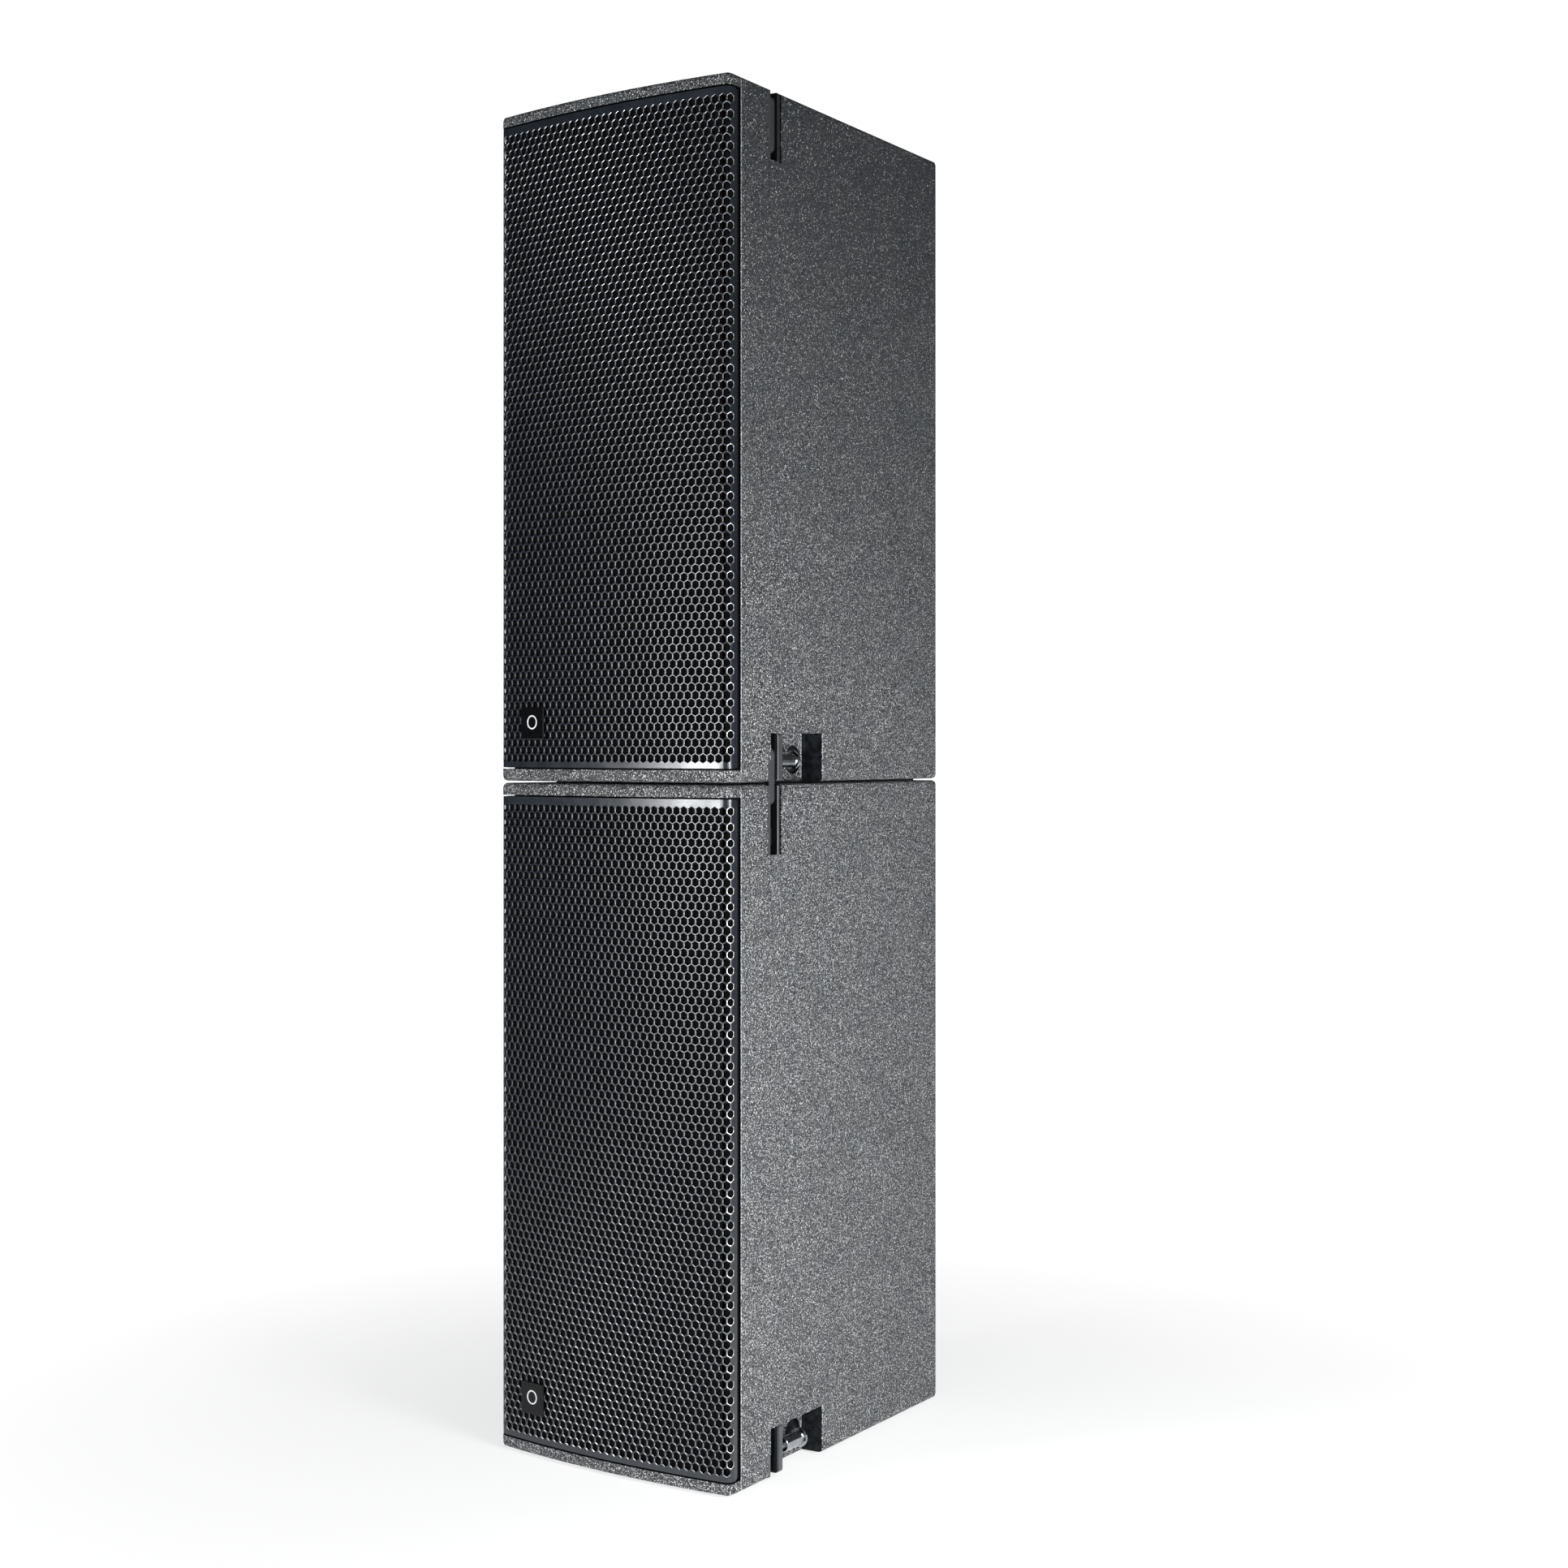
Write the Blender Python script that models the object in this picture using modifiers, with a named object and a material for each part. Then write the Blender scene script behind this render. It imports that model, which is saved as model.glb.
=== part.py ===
"""Two stacked line array loudspeaker cabinets, joined by rigging links at their sides.

Metres, Z up. The curved grille faces -Y and the connector plates face +Y. The lower
cabinet stands on z = 0, and the stack is centred on x = 0 and y = 0. Both cabinets are
built alike, but the lower one has its links raised and its lock pins pulled out.

"Depth" is measured behind the front chord, the straight line between the front corners.
On the tapered sides, "along" runs back along the side from the front corner and
"inward" is square to the side, into the cabinet. "Right" is +X.
"""
import math

import bmesh
import bpy
from mathutils import Matrix

# ---------------------------------------------------------------- dimensions
MODULE_PITCH = 0.625        # height taken by one cabinet with its feet
FOOT_GAP = 0.002            # air between stacked cabinets
FRONT_WIDTH = 0.27134       # between the side planes at the front chord
DEPTH = 0.38875             # front chord to rear face
SAGITTA = 0.00938           # bulge of the curved front
TAPER = math.radians(5.0)   # each side closes in towards the rear
GAP = 0.0003                # air between touching pieces
OVERCUT = 0.02              # how far cutters stand clear of the surface they cut

HALF_WIDTH = FRONT_WIDTH / 2.0
ARC_RADIUS = HALF_WIDTH ** 2 / (2.0 * SAGITTA)
FRONT_Y = -(DEPTH - SAGITTA) / 2.0      # front chord; puts the box centre on the origin
REAR_Y = FRONT_Y + DEPTH

# cabinet shell
CORNER_RADIUS = 0.0062      # vertical front corners
CORNER_STEPS = 4
CORNER_SETBACK = 1.003      # corner centre behind the front arc, in corner radii
EDGE_RADIUS = 0.004         # rounded outer edges of the cabinet
TOP_THICK = 0.012           # top and bottom panels
LIP_THICK = 0.0112          # their front edges, above and below the grille
WALL_THICK = 0.012          # side panels
REAR_THICK = 0.015          # rear panel
PANEL_FRONT_ALONG = 0.0176  # side panels start this far back along the side

# connector plate in the rear panel
PLATE_WIDTH, PLATE_HEIGHT, PLATE_THICK = 0.150, 0.110, 0.003
PLATE_Z = 0.3135
REBATE_DEPTH = PLATE_THICK + 0.001
PORT_MARGIN = 0.012         # rebate floor left around the port
SOCKET_X = 0.030            # sockets stand at -X and +X

# feet under the cabinet
FOOT_X = 0.088
FOOT_WIDTH = 0.014
FOOT_DEPTHS = (0.034, 0.355)
FOOT_GROOVE = 0.003

# loudspeakers
BAFFLE_THICK = 0.015
BAFFLE_DEPTH = 0.0178       # baffle front, behind the front chord
FLANGE_THICK = 0.0038
FLANGE_DEPTH = BAFFLE_DEPTH - GAP - FLANGE_THICK
WOOFER_HOLE_RADIUS = 0.0955
WOOFER_HEIGHTS = {"a": 0.1225, "b": 0.5045}
HORN_Z = 0.3135
HORN_WIDTH = 0.206
HORN_HEIGHT = 0.164

# rigging built into each side
SIDES = ((1, "right"), (-1, "left"))
RIG_BLOCK_ALONG = (0.0585, 0.1655)      # solid wood left around the rigging
RIG_BLOCK_INWARD = 0.030
CHASE_ALONG = (0.0634, 0.0871)          # upright channel for the rail
CHASE_INWARD = 0.0236
CHASE_EASE = 0.0004                     # the closed chase is smaller by this
CHASE_END = 0.020                       # closed chase ends this far inside the cabinet
SKIN_INWARD = 0.0042                    # side skin over the chase
SLOT_HEIGHT = 0.0637                    # open slot at the top of the side
POCKET_ALONG = (0.0682, 0.1605)         # open pocket at the bottom of the side
POCKET_INWARD = 0.0226
POCKET_HEIGHT = 0.0461
NOTCH_HEIGHT = 0.0225                   # the skin stops here in front of the pocket
RECESS_ALONG, RECESS_RADIUS = 0.1439, 0.0135
RECESS_INWARD = 0.0262                  # floor of the round thumb recess
RECESS_LENGTH = 0.010
PIN_Z = 0.0216
PIN_INWARD = 0.0100
PIN_HOLE_RADIUS = 0.0044
LINK_RAISE = 0.0370         # travel of a link from parked to raised
PIN_TRAVEL = 0.0120         # travel of a pin from home to pulled out

for item in list(bpy.data.objects):
    bpy.data.objects.remove(item, do_unlink=True)

parts = bpy.data.collections.new("line_array_speaker")
cutters = bpy.data.collections.new("cutters")
bpy.context.scene.collection.children.link(parts)
bpy.context.scene.collection.children.link(cutters)

# ---------------------------------------------------------------- materials
# name: (base colour, metallic, roughness)
FINISHES = {
    "cabinet_paint": ((0.060, 0.066, 0.072), 0.0, 0.75),
    "baffle_paint": ((0.012, 0.012, 0.013), 0.0, 0.85),
    "grille_steel": ((0.030, 0.038, 0.048), 0.6, 0.38),
    "foam": ((0.008, 0.008, 0.008), 0.0, 0.95),
    "badge_plastic": ((0.010, 0.010, 0.011), 0.0, 0.15),
    "basket_metal": ((0.050, 0.050, 0.052), 0.7, 0.45),
    "cone_paper": ((0.020, 0.020, 0.021), 0.0, 0.80),
    "magnet_steel": ((0.100, 0.100, 0.105), 0.8, 0.40),
    "horn_plastic": ((0.015, 0.015, 0.016), 0.0, 0.45),
    "board_green": ((0.020, 0.090, 0.040), 0.0, 0.50),
    "component_copper": ((0.450, 0.180, 0.080), 0.8, 0.35),
    "rail_zinc": ((0.200, 0.210, 0.220), 0.8, 0.40),
    "link_zinc": ((0.120, 0.125, 0.130), 0.8, 0.42),
    "pin_chrome": ((0.500, 0.510, 0.520), 1.0, 0.12),
    "grip_rubber": ((0.010, 0.011, 0.012), 0.0, 0.70),
    "foot_rubber": ((0.012, 0.012, 0.012), 0.0, 0.85),
    "plate_paint": ((0.018, 0.018, 0.020), 0.3, 0.50),
    "socket_plastic": ((0.020, 0.022, 0.060), 0.0, 0.40),
    "screw_black": ((0.015, 0.015, 0.016), 0.9, 0.35),
    "wire_red": ((0.300, 0.015, 0.012), 0.0, 0.50),
}


def make_material(name, color, metallic, roughness):
    material = bpy.data.materials.new(name)
    material.use_nodes = True
    shader = material.node_tree.nodes["Principled BSDF"]
    shader.inputs["Base Color"].default_value = (*color, 1.0)
    shader.inputs["Metallic"].default_value = metallic
    shader.inputs["Roughness"].default_value = roughness
    material.diffuse_color = (*color, 1.0)
    return material


MATERIALS = {name: make_material(name, *finish) for name, finish in FINISHES.items()}


# ------------------------------------------------------------- mesh helpers
def finish_mesh(shape, name):
    bmesh.ops.recalc_face_normals(shape, faces=shape.faces)
    mesh = bpy.data.meshes.new(name)
    shape.to_mesh(mesh)
    shape.free()
    return mesh


def middle(span):
    return (span[0] + span[1]) / 2


def length(span):
    return abs(span[1] - span[0])


def centred(centre, size, margin=0.0):
    """The span of a given size about a centre, widened by a margin at each end."""
    return (centre - size / 2 - margin, centre + size / 2 + margin)


def add_box(shape, *spans):
    """A box over its X, Y and Z spans."""
    size = Matrix.Diagonal((*map(length, spans), 1.0))
    place = Matrix.Translation([middle(span) for span in spans])
    bmesh.ops.create_cube(shape, size=1.0, matrix=place @ size)


def add_cylinder(shape, radius, depth, segments, matrix):
    bmesh.ops.create_cone(shape, cap_ends=True, cap_tris=False, segments=segments,
                          radius1=radius, radius2=radius, depth=depth, matrix=matrix)


def add_cylinder_y(shape, radius, y_span, x, z, segments):
    turn = Matrix.Rotation(math.radians(-90), 4, "X")
    place = Matrix.Translation((x, middle(y_span), z))
    add_cylinder(shape, radius, length(y_span), segments, place @ turn)


def add_cylinder_z(shape, radius, z_span, x, y, segments):
    place = Matrix.Translation((x, y, middle(z_span)))
    add_cylinder(shape, radius, length(z_span), segments, place)


def box_mesh(name, *spans):
    shape = bmesh.new()
    add_box(shape, *spans)
    return finish_mesh(shape, name)


def cylinder_y_mesh(name, radius, y_span, x, z, segments):
    shape = bmesh.new()
    add_cylinder_y(shape, radius, y_span, x, z, segments)
    return finish_mesh(shape, name)


def extruded(name, corners, offset):
    """A flat face over 3D corners, extruded by an offset."""
    shape = bmesh.new()
    face = shape.faces.new([shape.verts.new(corner) for corner in corners])
    grown = bmesh.ops.extrude_face_region(shape, geom=[face])
    moved = [item for item in grown["geom"] if isinstance(item, bmesh.types.BMVert)]
    bmesh.ops.translate(shape, verts=moved, vec=offset)
    return finish_mesh(shape, name)


def prism(name, outline, z_span):
    """A straight prism over a plan outline."""
    low, high = z_span
    return extruded(name, [(x, y, low) for x, y in outline], (0.0, 0.0, high - low))


# ----------------------------------------------------------- object helpers
def add_part(name, mesh, material):
    obj = bpy.data.objects.new(name, mesh)
    parts.objects.link(obj)
    mesh.materials.append(MATERIALS[material])
    return obj


def apply_tool(obj, name, mesh, operation="DIFFERENCE"):
    """Make a hidden helper object and use it in a boolean on obj."""
    tool = bpy.data.objects.new(name, mesh)
    cutters.objects.link(tool)
    tool.hide_render = True
    tool.display_type = "WIRE"
    modifier = obj.modifiers.new("cut_" + name, "BOOLEAN")
    modifier.operation = operation
    modifier.solver = "EXACT"
    modifier.object = tool
    return tool


def bevel(obj, width, segments=2, angle=50.0):
    modifier = obj.modifiers.new("edges", "BEVEL")
    modifier.width = width
    modifier.segments = segments
    modifier.limit_method = "ANGLE"
    modifier.angle_limit = math.radians(angle)


def smooth(obj, angle=30.0):
    obj.data.shade_smooth()
    obj.data.set_sharp_from_angle(angle=math.radians(angle))


def lathe(name, profile, material, steps):
    """A turned piece: profile of (radius, height) about local Z.

    A profile that starts on the axis stays open; any other is closed into a ring.
    """
    mesh = bpy.data.meshes.new(name)
    count = len(profile)
    edges = [(i, i + 1) for i in range(count - 1)]
    if profile[0][0] > 1e-6:
        edges.append((count - 1, 0))
    mesh.from_pydata([(radius, 0.0, z) for radius, z in profile], edges, [])
    obj = add_part(name, mesh, material)
    modifier = obj.modifiers.new("turn", "SCREW")
    modifier.axis = "Z"
    modifier.angle = math.radians(360.0)
    modifier.steps = steps
    modifier.render_steps = steps
    modifier.use_merge_vertices = True
    modifier.merge_threshold = 0.00001
    modifier.use_smooth_shade = True
    return obj


# ---------------------------------------------------- places on the cabinet
def shell_heights(base):
    return base + FOOT_GAP, base + MODULE_PITCH


def inner_heights(base, clearance=0.0):
    """Between the bottom and top panels, less a clearance at each."""
    low, high = shell_heights(base)
    return low + TOP_THICK + clearance, high - TOP_THICK - clearance


def side_point(side, along, inward):
    """Plan position from distances along and inward of a side."""
    x = HALF_WIDTH - along * math.sin(TAPER) - inward * math.cos(TAPER)
    y = FRONT_Y + along * math.cos(TAPER) - inward * math.sin(TAPER)
    return side * x, y


def wall_point(depth, inset=0.0):
    """Plan position on the right side at a depth, inset square to the side."""
    return half_width_at(depth) - inset / math.cos(TAPER), FRONT_Y + depth


def half_width_at(depth):
    return HALF_WIDTH - depth * math.tan(TAPER)


def place_on_side(obj, side, z=0.0):
    """Put the local origin on the front corner, with local Y running along the side."""
    obj.location = (side * HALF_WIDTH, FRONT_Y, z)
    obj.rotation_euler = (0.0, 0.0, side * TAPER)


def side_box_mesh(name, side, along_span, inward_span, z_span):
    """A box in the local frame that place_on_side sets up."""
    x_span = (-side * inward_span[0], -side * inward_span[1])
    return box_mesh(name, x_span, along_span, z_span)


def mirrored(outline):
    """The left-hand half that continues a right-hand outline."""
    return [(-x, y) for x, y in reversed(outline)]


def arc_depth(x):
    """Depth of the curved front; negative, as it bulges ahead of the chord."""
    return -SAGITTA + x * x / (2.0 * ARC_RADIUS)


def front_line(x_end, offset, count):
    """Points of the curved front between -x_end and +x_end, offset backwards."""
    line = []
    for i in range(count + 1):
        x = -x_end + 2.0 * x_end * i / count
        line.append((x, FRONT_Y + arc_depth(x) + offset))
    return line


def corner_arc(inset):
    """Right front corner, from the front arc round to the side."""
    start = math.radians(-90.0) + math.asin((HALF_WIDTH - CORNER_RADIUS) / ARC_RADIUS)
    side_inset = CORNER_RADIUS / math.cos(TAPER)
    # a first depth for the centre, then its place on the tapered side at that depth
    depth = arc_depth(HALF_WIDTH - side_inset) + CORNER_RADIUS
    centre_x = half_width_at(depth) - side_inset
    centre_y = FRONT_Y + arc_depth(centre_x) + CORNER_RADIUS * CORNER_SETBACK
    radius = CORNER_RADIUS - inset
    arc = []
    for i in range(CORNER_STEPS + 1):
        angle = start + (TAPER - start) * i / CORNER_STEPS
        arc.append((centre_x + radius * math.cos(angle), centre_y + radius * math.sin(angle)))
    return arc


def outline_front(inset, count):
    """Front arc with both rounded corners, left to right."""
    right = corner_arc(inset)
    return mirrored(right) + front_line(right[0][0], inset, count)[1:-1] + right


# ------------------------------------------------------------ cabinet shell
FRONT_CUT_HALF_WIDTH = 0.2
FRONT_CUT_AHEAD = 0.05
HOLLOW_FRONT_ALONG = 0.005
PORT_CUT_AHEAD = 0.05
NOTCH_EASE = 0.0002         # notch starts this far behind the chase front
NOTCH_INTO_POCKET = 0.004
NOTCH_FLOOR_EASE = 0.001    # notch is shallower than the chase by this


def hollow_plan():
    """Inside of the cabinet, stepping in round the rigging blocks."""
    block_front, block_rear = RIG_BLOCK_ALONG
    right = [side_point(1, HOLLOW_FRONT_ALONG, WALL_THICK),
             side_point(1, block_front, WALL_THICK),
             side_point(1, block_front, RIG_BLOCK_INWARD),
             side_point(1, block_rear, RIG_BLOCK_INWARD),
             side_point(1, block_rear, WALL_THICK),
             wall_point(DEPTH - REAR_THICK, WALL_THICK)]
    return right + mirrored(right)


def cut_rigging(body, prefix, base, side, tag):
    """Chase, top slot, bottom pocket, notch and thumb recess of one side."""
    low, high = shell_heights(base)
    chase_front, chase_rear = CHASE_ALONG
    # name, along span, inward span, height span
    side_cuts = (
        ("chase", (chase_front + CHASE_EASE, chase_rear - CHASE_EASE),
         (SKIN_INWARD, CHASE_INWARD - CHASE_EASE), (low + CHASE_END, high - CHASE_END)),
        ("slot", CHASE_ALONG,
         (-OVERCUT, CHASE_INWARD), (high - SLOT_HEIGHT, high + OVERCUT)),
        ("pocket", POCKET_ALONG,
         (-OVERCUT, POCKET_INWARD), (low - OVERCUT, base + POCKET_HEIGHT)),
        ("notch", (chase_front + NOTCH_EASE, POCKET_ALONG[0] + NOTCH_INTO_POCKET),
         (-OVERCUT, CHASE_INWARD - NOTCH_FLOOR_EASE), (low - OVERCUT, base + NOTCH_HEIGHT)),
    )
    for cut, along_span, inward_span, z_span in side_cuts:
        name = f"{prefix}cut_{cut}_{tag}"
        mesh = side_box_mesh(name, side, along_span, inward_span, z_span)
        place_on_side(apply_tool(body, name, mesh), side)

    name = f"{prefix}cut_thumb_{tag}"
    shape = bmesh.new()
    turn = Matrix.Rotation(math.radians(90.0), 4, "Y")
    place = Matrix.Translation((-side * (RECESS_INWARD - RECESS_LENGTH / 2), RECESS_ALONG,
                                base + PIN_Z))
    add_cylinder(shape, RECESS_RADIUS, RECESS_LENGTH, 20, place @ turn)
    place_on_side(apply_tool(body, name, finish_mesh(shape, name)), side)


def cabinet(prefix, base):
    low, high = shell_heights(base)
    rear = [wall_point(DEPTH)]
    plan = outline_front(0.0, 10) + rear + mirrored(rear)
    name = prefix + "cabinet"
    body = add_part(name, prism(name, plan, (low, high)), "cabinet_paint")
    bevel(body, EDGE_RADIUS, angle=40.0)

    # opening for the grille, and the hollow behind it
    name = prefix + "cut_front"
    apply_tool(body, name, box_mesh(
        name, (-FRONT_CUT_HALF_WIDTH, FRONT_CUT_HALF_WIDTH),
        (FRONT_Y - FRONT_CUT_AHEAD, FRONT_Y + PANEL_FRONT_ALONG * math.cos(TAPER)),
        (low + LIP_THICK, high - LIP_THICK)))
    name = prefix + "cut_hollow"
    apply_tool(body, name, prism(name, hollow_plan(), inner_heights(base)))

    for side, tag in SIDES:
        cut_rigging(body, prefix, base, side, tag)

    # rebate and port for the connector plate
    name = prefix + "cut_rebate"
    apply_tool(body, name, box_mesh(
        name, centred(0.0, PLATE_WIDTH, GAP),
        (REAR_Y - REBATE_DEPTH, REAR_Y + OVERCUT),
        centred(base + PLATE_Z, PLATE_HEIGHT, GAP)))
    name = prefix + "cut_port"
    apply_tool(body, name, box_mesh(
        name, centred(0.0, PLATE_WIDTH, -PORT_MARGIN),
        (REAR_Y - PORT_CUT_AHEAD, REAR_Y + OVERCUT),
        centred(base + PLATE_Z, PLATE_HEIGHT, -PORT_MARGIN)))

    # grooves for the feet
    name = prefix + "cut_feet"
    shape = bmesh.new()
    for x in (-FOOT_X, FOOT_X):
        add_box(shape, centred(x, FOOT_WIDTH, GAP),
                (FRONT_Y + FOOT_DEPTHS[0] - GAP, FRONT_Y + FOOT_DEPTHS[1] + GAP),
                (low - OVERCUT, low + FOOT_GROOVE))
    apply_tool(body, name, finish_mesh(shape, name))
    smooth(body)


# -------------------------------------------------- baffle, grille and foam
BAFFLE_CUT_DEPTH = 0.05
HORN_HOLE_MARGIN = 0.013    # horn flange overlaps the baffle by this

GRILLE_THICK = 0.0015
GRILLE_RETURN = 0.0117      # grille wraps this far down each side
GRILLE_CLEARANCE = 0.0006   # to the top and bottom panels
FRONT_SEGMENTS = 12         # along the curve of the grille and foam

FOAM_OFFSET = 0.0032
FOAM_THICK = 0.0035
FOAM_END_INSET = 0.0125
FOAM_CLEARANCE = 0.0012

FRAME_ALONG = (0.0065, 0.0172)
FRAME_INWARD = (0.0020, 0.0100)     # outer face and opening of the frame
FRAME_CUT_ALONG = (-0.005, 0.0300)
FRAME_RAIL = 0.0026                 # height of its top and bottom members

BADGE_SIZE, BADGE_THICK = 0.0298, 0.0020
BADGE_X, BADGE_Z = -0.0891, 0.0555
BADGE_AIR = 0.00045                 # between the badge and the curved front


def baffle_board(prefix, base):
    inset = WALL_THICK + GAP
    right = [wall_point(BAFFLE_DEPTH, inset), wall_point(BAFFLE_DEPTH + BAFFLE_THICK, inset)]
    name = prefix + "baffle"
    mesh = prism(name, right + mirrored(right), inner_heights(base, GAP))
    board = add_part(name, mesh, "baffle_paint")

    name = prefix + "cut_baffle"
    y_span = (FRONT_Y, FRONT_Y + BAFFLE_CUT_DEPTH)
    shape = bmesh.new()
    for z in WOOFER_HEIGHTS.values():
        add_cylinder_y(shape, WOOFER_HOLE_RADIUS, y_span, 0.0, base + z, 20)
    add_box(shape, centred(0.0, HORN_WIDTH, -HORN_HOLE_MARGIN), y_span,
            centred(base + HORN_Z, HORN_HEIGHT, -HORN_HOLE_MARGIN))
    apply_tool(board, name, finish_mesh(shape, name))


def grille(prefix, base):
    outer_end = [side_point(1, GRILLE_RETURN, 0.0)]
    inner_end = [side_point(1, GRILLE_RETURN, GRILLE_THICK)]
    ring = (mirrored(outer_end) + outline_front(0.0, FRONT_SEGMENTS) + outer_end
            + inner_end + outline_front(GRILLE_THICK, FRONT_SEGMENTS)[::-1]
            + mirrored(inner_end))
    name = prefix + "grille"
    mesh = prism(name, ring, inner_heights(base, GRILLE_CLEARANCE))
    smooth(add_part(name, mesh, "grille_steel"))


def grille_foam(prefix, base):
    x_end = HALF_WIDTH - FOAM_END_INSET
    front = front_line(x_end, FOAM_OFFSET, FRONT_SEGMENTS)
    back = front_line(x_end, FOAM_OFFSET + FOAM_THICK, FRONT_SEGMENTS)
    name = prefix + "grille_foam"
    mesh = prism(name, front + back[::-1], inner_heights(base, FOAM_CLEARANCE))
    smooth(add_part(name, mesh, "foam"))


def grille_frame(prefix, base):
    """Frame behind the grille's returns that the grille screws to."""
    outer, opening = FRAME_INWARD
    low, high = inner_heights(base, GAP)
    right = [side_point(1, along, outer) for along in FRAME_ALONG]
    name = prefix + "grille_frame"
    obj = add_part(name, prism(name, right + mirrored(right), (low, high)), "baffle_paint")
    right = [side_point(1, along, opening) for along in FRAME_CUT_ALONG]
    name += "_cut"
    apply_tool(obj, name, prism(name, right + mirrored(right),
                                (low + FRAME_RAIL, high - FRAME_RAIL)))


def badge(prefix, base):
    """Square badge, turned to lie along the curved front."""
    face = centred(0.0, BADGE_SIZE)
    name = prefix + "badge"
    obj = add_part(name, box_mesh(name, face, (-BADGE_THICK, 0.0), face), "badge_plastic")
    obj.rotation_euler = (0.0, 0.0, math.atan(BADGE_X / ARC_RADIUS))
    obj.location = (BADGE_X, FRONT_Y + arc_depth(BADGE_X) - BADGE_AIR, base + BADGE_Z)
    bevel(obj, 0.0006, segments=1)


# -------------------------------------------------------------- loudspeakers
BASKET_BACK = 0.0980        # depth of the basket's rear face
# driver profiles are (radius, depth)
BASKET_PROFILE = (
    (0.1050, FLANGE_DEPTH), (0.1050, FLANGE_DEPTH + FLANGE_THICK),
    (0.0950, FLANGE_DEPTH + FLANGE_THICK), (0.0950, 0.0370), (0.0580, 0.0880),
    (0.0580, BASKET_BACK), (0.0300, BASKET_BACK), (0.0300, 0.0940), (0.0540, 0.0940),
    (0.0540, 0.0870), (0.0917, 0.0360), (0.0917, FLANGE_DEPTH),
)
CONE_PROFILE = (
    (0.0, 0.0560), (0.0270, 0.0640), (0.0745, 0.0190), (0.0790, 0.0118),
    (0.0862, 0.0108), (0.0912, 0.0170), (0.0912, 0.0195), (0.0850, 0.0140),
    (0.0805, 0.0150), (0.0755, 0.0240), (0.0290, 0.0690), (0.0262, 0.0740),
    (0.0262, 0.1100), (0.0254, 0.1100), (0.0254, 0.0700), (0.0, 0.0600),
)
MAGNET_FRONT = BASKET_BACK + GAP
MAGNET_PROFILE = (
    (0.0, MAGNET_FRONT), (0.0242, MAGNET_FRONT), (0.0242, 0.1185), (0.0275, 0.1185),
    (0.0275, MAGNET_FRONT), (0.0520, MAGNET_FRONT), (0.0520, 0.1040), (0.0615, 0.1055),
    (0.0615, 0.1205), (0.0560, 0.1270), (0.0, 0.1270),
)
# four windows in the basket wall: radial, tangential and axial, in the basket's frame
WINDOW_CENTRE = (0.078, 0.0, -0.0615)
WINDOW_SIZE = (0.060, 0.070, 0.027)

# horn sections as (width, height), at the mouth and at the throat
HORN_OUTSIDE = ((0.174, 0.132), (0.044, 0.044))
HORN_INSIDE = ((0.170, 0.128), (0.026, 0.026))
HORN_OUTSIDE_DEPTHS = (FLANGE_DEPTH + 0.002, 0.090)
HORN_INSIDE_DEPTHS = (FLANGE_DEPTH - 0.001, 0.084)
THROAT_RADIUS = 0.0125
THROAT_CUT_DEPTHS = (0.070, 0.10)
COLLAR_RADIUS = 0.036       # round collar that the compression driver meets
COLLAR_DEPTHS = (0.086, 0.092)
COMPRESSION_FRONT = COLLAR_DEPTHS[1] + GAP
COMPRESSION_PROFILE = (
    (0.0, 0.104), (THROAT_RADIUS, 0.104), (THROAT_RADIUS, COMPRESSION_FRONT),
    (COLLAR_RADIUS, COMPRESSION_FRONT), (COLLAR_RADIUS, 0.097), (0.045, 0.099),
    (0.045, 0.128), (0.038, 0.133), (0.0, 0.133),
)


def seat_driver(obj, z):
    """Stand a piece on the front chord with its local Z facing forward."""
    obj.rotation_euler = (math.radians(90.0), 0.0, 0.0)
    obj.location = (0.0, FRONT_Y, z)


def driver(name, profile, material, steps, z):
    obj = lathe(name, [(radius, -depth) for radius, depth in profile], material, steps)
    seat_driver(obj, z)
    return obj


def woofer(name, z):
    basket = driver(name + "_basket", BASKET_PROFILE, "basket_metal", 20, z)
    shape = bmesh.new()
    for i in range(4):
        turn = Matrix.Rotation(math.radians(90.0 * i + 45.0), 4, "Z")
        size = Matrix.Diagonal((*WINDOW_SIZE, 1.0))
        bmesh.ops.create_cube(shape, size=1.0,
                              matrix=turn @ Matrix.Translation(WINDOW_CENTRE) @ size)
    cut_name = name + "_basket_cut"
    seat_driver(apply_tool(basket, cut_name, finish_mesh(shape, cut_name)), z)
    driver(name + "_cone", CONE_PROFILE, "cone_paper", 20, z)
    driver(name + "_magnet", MAGNET_PROFILE, "magnet_steel", 20, z)


def funnel_mesh(name, sections, depths, centre_z):
    """A four-sided funnel between a front and a rear (width, height) section."""
    shape = bmesh.new()
    front, rear = (
        [shape.verts.new((sign_x * width / 2, FRONT_Y + depth, centre_z + sign_z * height / 2))
         for sign_x, sign_z in ((-1, -1), (1, -1), (1, 1), (-1, 1))]
        for (width, height), depth in zip(sections, depths))
    shape.faces.new(front)
    shape.faces.new(rear[::-1])
    for i in range(4):
        j = (i + 1) % 4
        shape.faces.new((front[j], front[i], rear[i], rear[j]))
    return finish_mesh(shape, name)


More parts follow.
